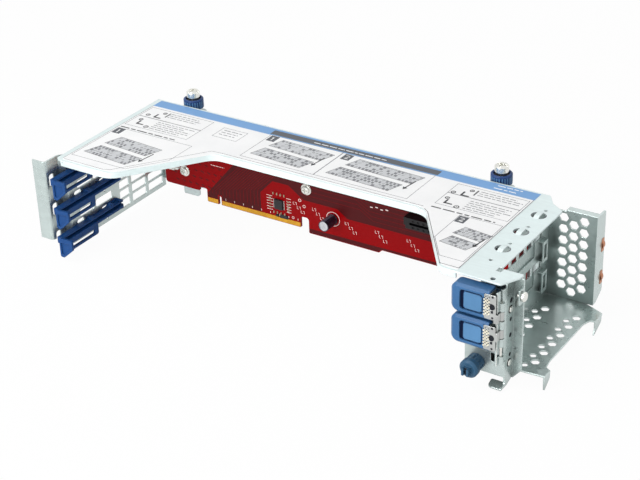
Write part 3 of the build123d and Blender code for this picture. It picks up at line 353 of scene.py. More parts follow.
@dataclass(frozen=True)
class CapacitorSkin:
    """Dark shrink sleeve round the side of a can, bare aluminium on its end."""

    name: str
    sleeve: Colour
    can: Colour
    axis_x: float
    axis_z: float
    end_y: float
    bare_radius: float

    def make(self) -> bpy.types.Material:
        """Builds the material."""
        skin = Skin(self.name)
        off_x = skin.axis("X") - self.axis_x
        off_z = skin.axis("Z") - self.axis_z
        reach = (off_x * off_x + off_z * off_z) ** 0.5
        bare = (reach < self.bare_radius) * (skin.axis("Y") < self.end_y)
        stripe = (off_z > 0.0) * (off_x > -1.2) * (off_x < 1.2)
        grain = skin.noise(700.0, 3.0)
        side = skin.tint(stripe * 0.5, self.sleeve, paint(120, 118, 135))
        return skin.finish(
            Base_Color=skin.tint(bare, side, self.can), Metallic=bare * 0.9,
            Roughness=(0.35 + (grain - 0.5) * 0.2).clamped(),
            Normal=skin.bump(grain, 0.00002))


class Finish(Enum):
    """The finishes of the riser's pieces."""

    PLATE = SheetSteel("plate_steel", paint(230, 244, 244), 0.28, 0.36, 0.04)
    PANEL = SheetSteel("panel_steel", paint(200, 212, 210), 0.85, 0.30, 0.10)
    LABEL = Film("label_white", paint(250, 251, 252), 0.42)
    BAND = Film("label_blue", paint(116, 164, 216), 0.40)
    TITLE = Film("label_grey", paint(84, 88, 94), 0.42)
    INK = Film("label_ink", paint(52, 54, 58), 0.45)
    MID = Film("label_mid", paint(128, 130, 134), 0.45)
    PALE = Film("label_pale", paint(206, 208, 211), 0.45)
    GUIDE = Moulded("guide_plastic", paint(22, 66, 122), 0.42, shine=0.14)
    LEVER = Moulded("lever_plastic", paint(50, 96, 142), 0.40)
    PAD = Moulded("pad_plastic", paint(76, 122, 164), 0.44)
    GROOVE_SHADE = Moulded("groove_shadow", paint(8, 20, 48), 0.6, edge=0.00002, shine=0.05)
    COLLAR = Moulded("collar_plastic", paint(26, 60, 112), 0.42)
    KNOB = Moulded("knob_plastic", paint(38, 76, 104), 0.40)
    MASK = Film("board_mask", paint(141, 0, 5), 0.34, 0.10, 0.6)
    COPPER_ZONE = Film("board_dark", paint(76, 12, 16), 0.34, 0.14, 0.6)
    TRACE = Film("board_trace", paint(112, 8, 16), 0.34, 0.1)
    SILK = Film("board_silk", paint(240, 222, 218), 0.55)
    GOLD = Plated("contact_gold", paint(246, 188, 66), 0.34)
    SOCKET = Moulded("socket_plastic", paint(17, 16, 19), 0.42, 0.00003, 0.0003)
    CHIP = Moulded("chip_plastic", paint(34, 33, 36), 0.5, 0.00003, 0.0002)
    CERAMIC = Moulded("chip_ceramic", paint(170, 150, 125), 0.5, 0.00003, 0.0001)
    BRIGHT = Plated("bright_steel", paint(240, 240, 234), 0.22)
    SPRING = Plated("spring_steel", paint(196, 198, 196), 0.30)
    # Painted highlights on the levers' fitting domes.
    DOME_HIGHLIGHT = Plated("dome_highlight", paint(246, 236, 216), 0.42)
    PIT_SHADE = Moulded("pit_shadow", paint(30, 32, 38), 0.6, edge=0.00002, shine=0.1)
    CLIP = Moulded("clip_plastic", paint(232, 231, 226), 0.5)
    COPPER = Plated("copper", paint(196, 138, 108), 0.34)
    CAPACITOR = CapacitorSkin(
        "capacitor_skin", paint(30, 24, 42), paint(206, 206, 210), -169.5, -53.0, -19.0, 3.3)

    def material(self) -> bpy.types.Material:
        """The finish's material, built once."""
        found = bpy.data.materials.get(self.value.name + "_skin")
        return found or self.value.make()


class Shape:
    """A mesh that is put together in cage millimetres and becomes one piece."""

    def __init__(self) -> None:
        """Starts empty."""
        self.mesh = bmesh.new()

    def prism(self, points: Iterable[Vector], lift: Vector) -> None:
        """Adds a closed prism.

        Args:
            points: The corners of its base, in cage millimetres.
            lift: The way from its base to its top, in millimetres.
        """
        low = [self.mesh.verts.new(at(*p)) for p in points]
        high = [self.mesh.verts.new(v.co + lift / MM_PER_M) for v in low]
        count = len(low)
        self.mesh.faces.new(low)
        self.mesh.faces.new(high)
        for i in range(count):
            j = (i + 1) % count
            self.mesh.faces.new((low[i], low[j], high[j], high[i]))

    def turned(self, profile: list[Point], centre: Vector, steps: int) -> None:
        """Adds a ring turned round an upright axis.

        Args:
            profile: Radius and height of its section, which closes on itself.
            centre: Where its axis starts, in cage millimetres.
            steps: Sides round the axis.
        """
        rings = []
        for radius, height in profile:
            ring = []
            for k in range(steps):
                angle = 2 * math.pi * k / steps
                local = Vector((radius * math.cos(angle), radius * math.sin(angle), height))
                ring.append(self.mesh.verts.new(at(*(centre + local))))
            rings.append(ring)
        for a, b in zip(rings, rings[1:] + rings[:1]):
            for k in range(steps):
                n = (k + 1) % steps
                self.mesh.faces.new((a[k], a[n], b[n], b[k]))

    def piece(self, name: str, finish: Finish, body: str = BODY, smooth: bool = False,
              replaces: Iterable[str] = (), slot: Optional[str] = None) -> bpy.types.Object:
        """Turns the mesh into a piece of the object.

        Args:
            name: The piece's name.
            finish: Its finish.
            body: The body that it rides on.
            smooth: Shades it smooth.
            replaces: The nodes that it stands for.
            slot: The record's material slot, handed on to settle.

        Returns:
            The piece.
        """
        bmesh.ops.recalc_face_normals(self.mesh, faces=self.mesh.faces)
        data = bpy.data.meshes.new(name)
        self.mesh.to_mesh(data)
        self.mesh.free()
        return settle(data, name, finish, body, smooth, replaces, slot)


def settle(data: bpy.types.Mesh, name: str, finish: Finish, body: str = BODY, smooth: bool = False,
           replaces: Iterable[str] = (), slot: Optional[str] = None) -> bpy.types.Object:
    """Makes a mesh a piece: links it, dresses it, and lets it ride.

    Args:
        data: Its mesh, in frame metres.
        name: The piece's name.
        finish: Its finish.
        body: The body that it rides on.
        smooth: Shades it smooth.
        replaces: The nodes that it stands for.
        slot: The record's material slot; not used.

    Returns:
        The piece.
    """
    data.materials.clear()
    data.materials.append(finish.material())
    if smooth:
        for face in data.polygons:
            face.use_smooth = True
    piece = bpy.data.objects.new(name, data)
    bpy.context.scene.collection.objects.link(piece)
    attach(piece, body)
    replaced = list(replaces)
    if replaced:
        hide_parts(*replaced)
    log.info("%s: %d faces", name, len(data.polygons))
    return piece


class Repeat(Graph):
    """A Geometry Nodes tree that repeats one small shape, then becomes a plain mesh."""

    def __init__(self, name: str, sizes: dict[str, float]) -> None:
        """Starts the tree.

        Args:
            name: The tree's name.
            sizes: Its named inputs and their values.
        """
        tree = bpy.data.node_groups.new(name, "GeometryNodeTree")
        super().__init__(tree)
        self.sizes = sizes
        self.keys = {}
        for label in sizes:
            item = tree.interface.new_socket(label, in_out="INPUT", socket_type="NodeSocketFloat")
            self.keys[label] = item.identifier
        tree.interface.new_socket("Geometry", in_out="OUTPUT", socket_type="NodeSocketGeometry")
        self.entry = tree.nodes.new("NodeGroupInput")

    def size(self, label: str) -> Wire:
        """The wire of one named input."""
        return self.out(self.entry, label)

    def bake(self, geometry: Wire, name: str, finish: Finish, **settings: Any) -> bpy.types.Object:
        """Ends the tree and settles what it makes as one plain piece.

        Args:
            geometry: The tree's last geometry.
            name: The piece's name.
            finish: Its finish.
            **settings: The rest of what settle takes.

        Returns:
            The piece.
        """
        real = self.add("GeometryNodeRealizeInstances", None, {0: geometry})
        dressed = self.add("GeometryNodeSetMaterial", None, {
            "Geometry": self.out(real), "Material": finish.material()})
        self.add("NodeGroupOutput", None, {0: self.out(dressed)})
        holder = bpy.data.objects.new(name + "_maker", bpy.data.meshes.new(name + "_maker"))
        bpy.context.scene.collection.objects.link(holder)
        modifier = holder.modifiers.new("repeat", "NODES")
        modifier.node_group = self.tree
        for label, value in self.sizes.items():
            modifier[self.keys[label]] = float(value)
        bpy.context.view_layer.update()
        graph = bpy.context.evaluated_depsgraph_get()
        data = bpy.data.meshes.new_from_object(holder.evaluated_get(graph))
        holder.modifiers.clear()
        bpy.data.objects.remove(holder)
        return settle(data, name, finish, **settings)


@dataclass
class PadRow:
    """A row of equal blocks, such as contacts or leads."""

    name: str
    start: Vector
    step: Vector
    block: Vector
    count: int

    def build(self, finish: Finish, **settings: Any) -> bpy.types.Object:
        """Makes the row as one piece.

        Args:
            finish: Its finish.
            **settings: The rest of what settle takes.

        Returns:
            The piece.
        """
        tree = Repeat(self.name, {"Count": self.count, "Step": self.step.length / MM_PER_M})
        way = self.step.normalized()
        offset = tree.add("ShaderNodeVectorMath", {"operation": "SCALE"}, {
            0: tuple(way), "Scale": tree.size("Step")})
        line = tree.add("GeometryNodeMeshLine", {"mode": "OFFSET"}, {
            "Count": tree.size("Count"), "Start Location": tuple(at(*self.start)),
            "Offset": tree.out(offset)})
        shape = tree.add("GeometryNodeMeshCube", None, {"Size": tuple(self.block / MM_PER_M)})
        spread = tree.add("GeometryNodeInstanceOnPoints", None, {
            "Points": tree.out(line), "Instance": tree.out(shape)})
        return tree.bake(tree.out(spread), self.name, finish, **settings)


@dataclass
class RibRing:
    """Equal ribs round an upright axis, such as a knurl."""

    name: str
    centre: Vector
    radius: float
    rib: Vector
    count: int

    def build(self, finish: Finish, **settings: Any) -> bpy.types.Object:
        """Makes the ring as one piece.

        Args:
            finish: Its finish.
            **settings: The rest of what settle takes.

        Returns:
            The piece.
        """
        tree = Repeat(self.name, {"Count": self.count, "Radius": self.radius / MM_PER_M})
        circle = tree.add("GeometryNodeMeshCircle", None, {
            "Vertices": tree.size("Count"), "Radius": tree.size("Radius")})
        index = tree.out(tree.add("GeometryNodeInputIndex"))
        angle = index / tree.size("Count") * (2 * math.pi)
        turn = tree.add("ShaderNodeCombineXYZ", None, {"Z": angle})
        shape = tree.add("GeometryNodeMeshCube", None, {"Size": tuple(self.rib / MM_PER_M)})
        spread = tree.add("GeometryNodeInstanceOnPoints", None, {
            "Points": tree.out(circle), "Instance": tree.out(shape), "Rotation": tree.out(turn)})
        moved = tree.add("GeometryNodeTransform", None, {
            "Geometry": tree.out(spread), "Translation": tuple(at(*self.centre))})
        return tree.bake(tree.out(moved), self.name, finish, **settings)


class Ink(Shape):
    """Flat print on a surface, built as thin slabs."""

    def __init__(self, base: float, height: float, upright: bool = False) -> None:
        """Starts a print.

        Args:
            base: The surface's level in cage millimetres: z, or y where upright.
            height: How far the print stands proud.
            upright: The surface faces the viewer instead of up.
        """
        super().__init__()
        self.base = base
        self.height = height
        self.upright = upright

    def field(self, points: Iterable[Point]) -> None:
        """Adds a filled shape with those corners."""
        if self.upright:
            corners = [Vector((u, self.base + 0.01, v)) for u, v in points]
            self.prism(corners, Vector((0, -self.height - 0.01, 0)))
        else:
            corners = [Vector((u, v, self.base - 0.01)) for u, v in points]
            self.prism(corners, Vector((0, 0, self.height + 0.01)))

    def box(self, u0: float, v0: float, u1: float, v1: float) -> None:
        """Adds a filled rectangle."""
        self.field([(u0, v0), (u1, v0), (u1, v1), (u0, v1)])

    def line(self, points: list[Point], width: float) -> None:
        """Adds a line through points, one slab a run."""
        for (u0, v0), (u1, v1) in zip(points, points[1:]):
            run = Vector((u1 - u0, v1 - v0))
            if run.length < 1e-6:
                continue
            side = Vector((-run.y, run.x)).normalized() * width / 2
            end = run.normalized() * width / 2
            a = Vector((u0, v0)) - end
            b = Vector((u1, v1)) + end
            self.field([tuple(a + side), tuple(b + side), tuple(b - side), tuple(a - side)])

    def frame(self, u0: float, v0: float, u1: float, v1: float, width: float) -> None:
        """Adds the outline of a rectangle."""
        self.box(u0, v0, u1, v0 + width)
        self.box(u0, v1 - width, u1, v1)
        self.box(u0, v0, u0 + width, v1)
        self.box(u1 - width, v0, u1, v1)

    def ring(self, u: float, v: float, radius: float, width: float, sides: int = 20) -> None:
        """Adds a ring."""
        for k in range(sides):
            a, b = (2 * math.pi * n / sides for n in (k, k + 1))
            inner = radius - width
            self.field([
                (u + radius * math.cos(a), v + radius * math.sin(a)),
                (u + radius * math.cos(b), v + radius * math.sin(b)),
                (u + inner * math.cos(b), v + inner * math.sin(b)),
                (u + inner * math.cos(a), v + inner * math.sin(a))])

    def disc(self, u: float, v: float, radius: float, sides: int = 16) -> None:
        """Adds a filled disc."""
        self.field([(u + radius * math.cos(2 * math.pi * k / sides),
                     v + radius * math.sin(2 * math.pi * k / sides)) for k in range(sides)])


@dataclass
class Label:
    """The printed film on the top plate: fields of colour and plain shapes only."""

    top: float = 0.15
    left: float = -314.5
    right: float = -20.8
    back: float = -1.6
    band_front: float = -11.0
    frame_line: float = 0.34
    band_height: float = 0.01
    pale_height: float = 0.015
    mid_height: float = 0.025
    ink_height: float = 0.035
    title_height: float = 0.04
    white_height: float = 0.055

    def build(self) -> None:
        """Prints the label, one piece a colour."""
        self.band()
        self.titles()
        pale = Ink(self.top, self.pale_height)
        mid = Ink(self.top, self.mid_height)
        ink = Ink(self.top, self.ink_height)
        self.frames(mid)
        self.lines(mid, ink)
        self.tools(ink, -309.0, -17.0)
        self.tools(ink, -70.0, -17.0)
        self.drawing(pale, mid, ink, (-311.0, -97.0, -262.0, -60.5), 7)
        self.drawing(pale, mid, ink, (-213.0, -45.5, -160.5, -12.0), 11)
        self.drawing(pale, mid, ink, (-155.0, -45.5, -91.5, -12.0), 13)
        self.drawing(pale, mid, ink, (-47.0, -88.0, -23.0, -60.0), 17)
        self.outline(ink)
        pale.piece("label_pale_print", Finish.PALE, slot="label_film")
        mid.piece("label_mid_print", Finish.MID, slot="label_film")
        ink.piece("label_dark_print", Finish.INK, slot="label_film")

    def band(self) -> None:
        """Prints the blue band along the back edge."""
        blue = Ink(self.top, self.band_height)
        blue.box(self.left, self.band_front, self.right, self.back)
        blue.piece("label_band", Finish.BAND, slot="label_film")

    def titles(self) -> None:
        """Prints the grey title field in the band and the step squares."""
        grey = Ink(self.top, self.title_height)
        grey.box(-216.5, -9.6, -88.8, -3.6)
        for u, v in ((-213.6, -19.4), (-155.4, -19.4), (-312.4, -59.6), (-50.6, -58.4)):
            grey.box(u, v, u + 6.4, v + 8.0)
        grey.piece("label_title", Finish.TITLE, slot="label_film")
        white = Ink(self.top, self.white_height)
        self.bars(white, -183.0, -7.4, 62.0, 1, 1.9, 1.3, 5)
        self.bars(white, -49.0, -4.3, 18.0, 1, 1.9, 1.3, 6)
        self.bars(white, -50.0, -8.2, 20.0, 1, 1.9, 1.3, 8)
        for number, (u, v) in enumerate(((-213.6, -19.4), (-155.4, -19.4)), 1):
            self.digit(white, number, u + 3.2, v + 4.0)
        self.digit(white, 1, -309.2, -55.6)
        self.digit(white, 2, -47.4, -54.4)
        white.piece("label_white_print", Finish.LABEL, slot="label_film")

    @staticmethod
    def digit(print_: Ink, number: int, u: float, v: float) -> None:
        """Prints a plain 1 or 2 about that centre."""
        if number == 1:
            print_.line([(u - 0.8, v + 1.4), (u, v + 2.2), (u, v - 2.2)], 0.75)
        else:
            print_.line([(u - 1.3, v + 1.9), (u + 1.2, v + 1.9), (u + 1.2, v + 0.2),
                         (u - 1.2, v - 2.0), (u + 1.4, v - 2.0)], 0.7)

    @staticmethod
    def bars(print_: Ink, u: float, v: float, width: float, rows: int, pitch: float,
             height: float, seed: int) -> None:
        """Prints rows of short bars where there is writing."""
        chance = random.Random(seed)
        for row in range(rows):
            place = u
            level = v - row * pitch
            end = u + width * chance.uniform(0.72, 1.0)
            while place < end:
                run = chance.uniform(1.6, 4.6) * height
                run = min(run, end - place)
                print_.box(place, level, place + run, level + height * 0.62)
                place += run + height * 0.75

    def frames(self, print_: Ink) -> None:
        """Prints the thin frames of the panels."""
        for u0, v0, u1, v1 in (
                (-313.0, -28.6, -260.2, -13.4), (-313.0, -44.8, -260.2, -28.6),
                (-249.2, -31.2, -229.4, -16.8),
                (-215.0, -47.2, -157.9, -10.6), (-157.9, -47.2, -89.4, -10.6),
                (-72.0, -27.0, -22.4, -13.4), (-72.0, -43.4, -22.4, -27.0)):
            print_.frame(u0, v0, u1, v1, self.frame_line)
        left = [(-313, -51.2), (-250.8, -51.2), (-250.8, -76), (-266.5, -97), (-268, -99.6),
                (-313, -99.6), (-313, -51.2)]
        right = [(-51, -49.8), (-22.2, -49.8), (-22.2, -98.6), (-38, -98.6), (-51, -80.5),
                 (-51, -49.8)]
        print_.line(left, self.frame_line)
        print_.line(right, self.frame_line)

    def lines(self, mid: Ink, ink: Ink) -> None:
        """Prints the rows of bars."""
        self.bars(mid, -294.0, -17.0, 31.0, 3, 2.6, 1.1, 21)
        self.bars(mid, -294.0, -32.0, 31.0, 5, 2.6, 1.1, 22)
        self.bars(mid, -246.6, -20.6, 15.0, 3, 3.2, 1.2, 23)
        self.bars(ink, -312.6, -49.6, 50.0, 1, 2.6, 1.8, 24)
        self.bars(mid, -54.0, -17.0, 30.0, 3, 2.6, 1.1, 25)
        self.bars(mid, -54.0, -31.0, 30.0, 5, 2.6, 1.1, 26)
        self.bars(ink, -71.6, -48.6, 48.0, 1, 2.6, 1.8, 27)

    @staticmethod
    def tools(print_: Ink, u: float, v: float) -> None:
        """Prints small plain signs: rings, discs and bent keys."""
        for du, dv, size in (
                (1.0, -8.0, 1.7), (10.5, -1.0, 1.6), (1.5, -16.5, 1.6), (12.0, -24.5, 1.9)):
            print_.ring(u + du, v + dv, size, 0.75)
            print_.disc(u + du, v + dv, size * 0.25)
        for du, dv in ((7.0, -9.0), (3.0, -23.0)):
            print_.line([(u + du, v + dv + 4.2), (u + du, v + dv), (u + du + 4.6, v + dv)], 1.3)
        print_.line([(u + 14.0, v + 0.4), (u + 14.0, v - 5.6)], 1.0)

    @staticmethod
    def drawing(pale: Ink, mid: Ink, ink: Ink, room: tuple[float, float, float, float],
                seed: int) -> None:
        """Prints a plain drawing of two trays full of small blocks.

        Args:
            pale: The print of the trays.
            mid: The print of the blocks.
            ink: The print of its edges.
            room: Left, front, right and back of the room that it has.
            seed: Chooses its proportions.
        """
        chance = random.Random(seed)
        u0, v0, u1, v1 = room
        wide, deep = u1 - u0, v1 - v0
        for row in range(2):
            v = v0 + deep * (0.14 + 0.46 * row)
            u = u0 + wide * (0.04 + 0.08 * row)
            w, h = wide * chance.uniform(0.72, 0.80), deep * 0.34
            lean, drop = deep * 0.12, deep * 0.08
            base = [(u, v), (u + w, v - drop), (u + w + lean, v + h - drop), (u + lean, v + h)]
            ink.line(base + base[:1], 0.3)
            pale.field(base)
            columns, ranks = int(w / 2.7), 4
            for cell in range(columns * ranks):
                s, t = (cell % columns + 0.5) / columns, (cell // columns + 0.5) / ranks
                x, y = u + w * s + lean * t, v + h * t - drop * s
                a, b = w / columns * chance.uniform(0.22, 0.44), h / ranks * 0.40
                quad = [(x - a, y - b), (x + a, y - b * 1.3),
                        (x + a * 1.1, y + b * 0.8), (x - a, y + b)]
                kind = chance.random()
                if kind < 0.42:
                    mid.field(quad)
                elif kind < 0.66:
                    ink.line([(x - a * 0.7, y - b * 0.5), (x + a * 0.7, y + b * 0.5)], 0.34)
                elif kind < 0.76:
                    ink.ring(x, y, 0.8, 0.26, 8)
        tip = (u1 - wide * 0.10, v0 + deep * 0.34)
        ink.line([(tip[0] + 1.4, tip[1] + deep * 0.3), tip], 0.9)
        ink.field([(tip[0] - 1.9, tip[1] + 0.4), (tip[0] + 1.6, tip[1] - 0.2),
                   (tip[0] - 0.3, tip[1] - 3.0)])

    def outline(self, print_: Ink) -> None:
        """Draws thin dark lines round the label's ends, and a painted shadow along its front edge.
        """
        run = [(self.right - 0.3, self.band_front), (self.right - 0.3, -106.2), (-33.4, -106.2),
               (-70.0, -55.4), (-73.5, -53.0)]
        print_.line(run, 0.35)
        print_.line([(self.left + 0.2, self.band_front), (self.left + 0.2, -106.6)], 0.2)
        # Painted shadow: a dark line along the film's front edge.
        edge = [(-313.0, -107.0), (-280.0, -107.0), (-275.6, -104.8), (-235.0, -50.9),
                (-229.0, -50.2), (-76.0, -50.2)]
        print_.line(edge, 0.26)


@dataclass
class BoardPrint:
    """Traces, silkscreen and small metal parts on the riser board's face."""

    face: float = -8.0
    contact_pitch: float = 1.0
    contact_level: float = -64.3
    zone_height: float = 0.012
    pad_height: float = 0.018
    trace_height: float = 0.02
    silk_height: float = 0.03

    def build(self) -> None:
        """Builds the face's pieces."""
        self.zones()
        self.traces()
        self.silk()
        self.vias()
        self.contacts()
        self.chip()

    def zones(self) -> None:
        """Dark fields where copper lies under the mask."""
        zone = Ink(self.face, self.zone_height, upright=True)
        zone.field([(-227.0, -5.0), (-198.0, -5.0), (-205.0, -36.5), (-218.0, -36.5),
                    (-228.5, -47.5), (-228.5, -58.8), (-274.0, -58.8)])
        zone.box(-274.0, -62.4, -265.6, -58.8)
        zone.box(-262.0, -62.4, -228.5, -58.8)
        zone.field([(-198.0, -5.0), (-27.0, -5.0), (-27.0, -50.0), (-158.0, -50.0),
                    (-166.0, -44.6), (-193.0, -44.6), (-205.0, -36.5)])
        zone.field([(-189.0, -65.4), (-28.0, -63.6), (-28.0, -66.2), (-132.0, -66.2),
                    (-134.0, -68.4), (-188.6, -68.4)])
        zone.piece("board_copper_fields", Finish.COPPER_ZONE, slot="board")

    def traces(self) -> None:
        """Red lines between the parallel traces of the dark fields."""
        trace = Ink(self.face, self.trace_height, upright=True)
        for k in range(14):
            top, low = -224.0 + k * 1.75, -270.0 + k * 3.0
            trace.line([(top, -6.0), (top - 1.5, -12.0 - k * 0.6), (low, -56.6 + k * 0.8),
                        (low, -58.5)], 0.42)
        for k in range(9):
            v = -14.0 - k * 3.3
            trace.line([(-196.0, v), (-160.0 + k * 1.5, v), (-150.0 + k * 1.5, v - 6.0),
                        (-30.0, v - 6.0)], 0.3)
        trace.piece("board_trace_lines", Finish.TRACE, slot="board")

    def silk(self) -> None:
        """Pale marks printed on the board."""
        mark = Ink(self.face, self.silk_height, upright=True)
        Label.bars(mark, -270.0, -36.6, 16.0, 1, 1.5, 0.7, 31)
        for k in range(4):
            u, v = -140.0 + k * 3.9, -36.6 + (k % 2) * 0.8
            mark.box(u, v, -138.0 + k * 3.9, -35.9 + (k % 2) * 0.8)
        mark.ring(-169.5, -53.0, 5.4, 0.45, 28)
        for u, v in ((-197.0, -51.6), (-181.5, -52.4), (-155.5, -56.4), (-132.0, -56.6),
                     (-107.8, -56.6)):
            for k in range(3):
                a, b = u + (k - 1) * 3.1, v - (k - 1) * 2.7
                mark.line([(a - 1.3, b + 0.9), (a - 1.3, b - 0.9), (a - 0.3, b - 0.9)], 0.28)
                mark.line([(a + 0.3, b + 0.9), (a + 1.3, b + 0.9), (a + 1.3, b - 0.9)], 0.28)
        for k in range(6):
            mark.box(-223.4, -58.6 + k * 2.1, -218.6, -58.2 + k * 2.1)
            mark.box(-207.0, -57.6 + k * 2.1, -203.4, -57.2 + k * 2.1)
        for k in range(9):
            mark.box(-259.0 + k * 7.6, -61.6, -258.6 + k * 7.6, -60.2)
        mark.ring(-196.0, -45.6, 1.2, 0.35, 10)
        mark.ring(-192.6, -49.4, 1.2, 0.35, 10)
        mark.ring(-202.0, -60.4, 1.0, 0.35, 10)
        mark.piece("board_silkscreen", Finish.SILK, slot="board")
        dash = Ink(self.face, self.pad_height, upright=True)
        for row in range(4):
            for column in range(8):
                u = -303.0 + column * 5.6 + (row % 2) * 1.8
                v = -38.0 - row * 5.4
                if abs(u + 293.0) > 5 or abs(v + 46.4) > 5:
                    dash.line([(u, v), (u + 1.7, v - 0.7)], 0.9)
        dash.piece("board_left_pads", Finish.COPPER_ZONE, slot="board")

    def vias(self) -> None:
        """Small plated rows beside the connector field."""
        for index, level in enumerate((-12.0, -24.0)):
            row = PadRow(f"board_vias_{index + 1}", Vector((-150.0, self.face - 0.01, level)),
                         Vector((2.0, 0, 0)), Vector((0.5, 0.06, 0.5)), 20)
            row.build(Finish.SILK, slot="board")

    def contacts(self) -> None:
        """Gold edge contacts on both sides of the key notch."""
        for side, start, count in (("left", -274.0, 9), ("right", -261.6, 66)):
            row = PadRow(
                "edge_contacts_" + side, Vector((start, self.face - 0.03, self.contact_level)),
                Vector((self.contact_pitch, 0, 0)), Vector((0.74, 0.12, 3.2)), count)
            row.build(Finish.GOLD, replaces=("edge_contacts",), slot="contact_gold")

    def chip(self) -> None:
        """Bright leads on both sides of the regulator chip."""
        for side, name in ((-1, "left"), (1, "right")):
            start = Vector((-213.0 + side * 3.9, self.face - 0.3, -55.7))
            row = PadRow(
                "chip_leads_" + name, start, Vector((0, 0, 1.0)), Vector((1.35, 0.66, 0.5)), 7)
            row.build(Finish.BRIGHT, slot="bright_steel")
        block = Ink(self.face, 1.0, upright=True)
        block.box(-212.4, -62.6, -206.0, -60.2)
        block.box(-215.6, -62.4, -213.6, -60.8)
        block.piece("small_chips", Finish.CHIP, slot="chip_plastic")


@dataclass
class ThumbScrew:
    """A captive thumbscrew's moving details: coil spring, thread and knurl."""

    side: str
    x: float
    y: float = 8.5
    coil_radius: float = 3.2
    wire: float = 0.45
    low: float = -7.2
    high: float = -0.3
    turns: float = 3.5
    travel: float = 3.5
    thread_radius: float = 1.92
    thread_low: float = -21.2
    thread_high: float = -10.2
    thread_turns: float = 15.0
    thread_wire: float = 0.2

    def build(self) -> None:
        """Builds the details."""
        self.spring()
        self.thread()
        self.knurl()

    def knurl(self) -> None:
        """Fine ribs round the collar, and a dark ring of painted shade on the floor of the recess
        inside its rim.
        """
        rider = "thumb_screw_" + self.side
        ring = RibRing("knurl_" + self.side, Vector((self.x, self.y, -0.9)), 6.75,
                       Vector((0.5, 0.7, 5.0)), 24)
        ring.build(Finish.PAD, body=rider, slot="lever_plastic")
        # Painted shade: a dark ring on the floor of the collar's recess.
        recess_shade = Shape()
        recess_shade.turned([(3.45, 0.72), (5.35, 0.72), (5.35, 1.5), (3.45, 1.5)],
                      Vector((self.x, self.y, 0)), 28)
        recess_shade.piece("collar_recess_shade_" + self.side, Finish.SOCKET, rider, slot="lever_plastic")

    def coil(self, radius: float, low: float, high: float, turns: float,
             wire: float) -> bpy.types.Mesh:
        """Mesh of a round wire on a helix.

        Args:
            radius: Of the helix.
            low: Its lowest level.
            high: Its highest level.
            turns: How many turns it has.
            wire: The wire's radius.

        Returns:
            The mesh, in frame metres.
        """
        shape = bmesh.new()
        steps = int(turns * COIL_STEPS)
        rings = []
        for k in range(steps + 1):
            angle = 2 * math.pi * turns * k / steps
            level = low + wire + (high - low - 2 * wire) * k / steps
            out = Vector((math.cos(angle), math.sin(angle), 0))
            centre = Vector((self.x, self.y, level)) + out * radius
            ring = []
            for n in range(WIRE_SIDES):
                turn = 2 * math.pi * n / WIRE_SIDES
                spot = centre + out * wire * math.cos(turn) + Vector((0, 0, wire * math.sin(turn)))
                ring.append(shape.verts.new(at(*spot)))
            rings.append(ring)
        for a, b in zip(rings, rings[1:]):
            for n in range(WIRE_SIDES):
                m = (n + 1) % WIRE_SIDES
                shape.faces.new((a[n], a[m], b[m], b[n]))
        shape.faces.new(rings[0])
        shape.faces.new(rings[-1])
        bmesh.ops.recalc_face_normals(shape, faces=shape.faces)
        data = bpy.data.meshes.new("coil")
        shape.to_mesh(data)
        shape.free()
        return data

    def spring(self) -> None:
        """The coil spring, with a mesh of its own."""
        data = self.coil(self.coil_radius, self.low, self.high, self.turns, self.wire)
        piece = settle(data, "spring_" + self.side, Finish.SPRING, BODY, True,
                       ("thumb_spring_" + self.side,), "spring_steel")
        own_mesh(piece)

    def thread(self) -> None:
        """The fine thread on the shank's free end."""
        data = self.coil(self.thread_radius, self.thread_low, self.thread_high,
                         self.thread_turns, self.thread_wire)
        settle(data, "thread_" + self.side, Finish.BRIGHT, "thumb_screw_" + self.side, True,
               slot="bright_steel")


@dataclass
class LeverDetail:
    """Painted shade in the groove round a lever's thumb pad; painted highlights on the domes and
    painted shade in the pits of its steel fitting.
    """

    body: str
    top: float
    front: float = -117.2
    half_height: float = 9.3
    groove_half: float = 6.3
    groove_inner: float = 5.45
    pad_half: float = 5.2
    pad_side: float = 4.1

    def build(self) -> None:
        """Builds the details."""
        middle = self.top - self.half_height
        outer, inner = self.groove_half, self.groove_inner
        # Painted shade: a dark slab on the floor of the groove round the thumb pad.
        groove = Ink(self.front + 1.2, 0.12, upright=True)
        groove.box(-14.5, middle - outer, -12.25, middle + outer)
        groove.box(-12.25, middle + inner, 0.1, middle + outer)
        groove.box(-12.25, middle - outer, 0.1, middle - inner)
        tall, side = self.pad_half, self.pad_side
        pad = Ink(self.front + 0.3, 0.05, upright=True)
        pad.field([(-11.0, middle - tall), (-1.9, middle - tall), (-0.8, middle - side),
                   (-0.8, middle + side), (-1.9, middle + tall), (-11.0, middle + tall),
                   (-12.0, middle + side), (-12.0, middle - side)])
        pad.piece("thumb_pad_" + self.body, Finish.PAD, self.body, slot="lever_plastic")
        groove.piece("pad_groove_shade_" + self.body, Finish.GROOVE_SHADE, self.body, slot="lever_plastic")
        # Painted highlights and shade on the fitting: bright discs where light catches its domes,
        # dark discs and a dark box for the shade in its pits and hole.
        pits = Ink(self.front, 0.06, upright=True)
        domes = Ink(self.front, 0.1, upright=True)
        for column in range(4):
            for row in range(6):
                u = 0.95 + column * 1.0
                v = middle - 5.5 + row * 1.95 + (column % 2) * 0.97
                domes.disc(u, v, 0.62, 8)
                pits.disc(u + 0.1, v + 0.97, 0.34, 8)
        pits.disc(5.75, middle + 0.4, 1.95, 20)
        pits.box(5.2, middle - 3.6, 6.6, middle - 1.9)
        for level in (-6.6, 6.8):
            pits.disc(6.2, middle + level, 0.7, 10)
        domes.piece("fitting_dome_highlights_" + self.body, Finish.DOME_HIGHLIGHT, self.body, slot="spring_steel")
        pits.piece("fitting_pit_shades_" + self.body, Finish.PIT_SHADE, self.body, slot="spring_steel")


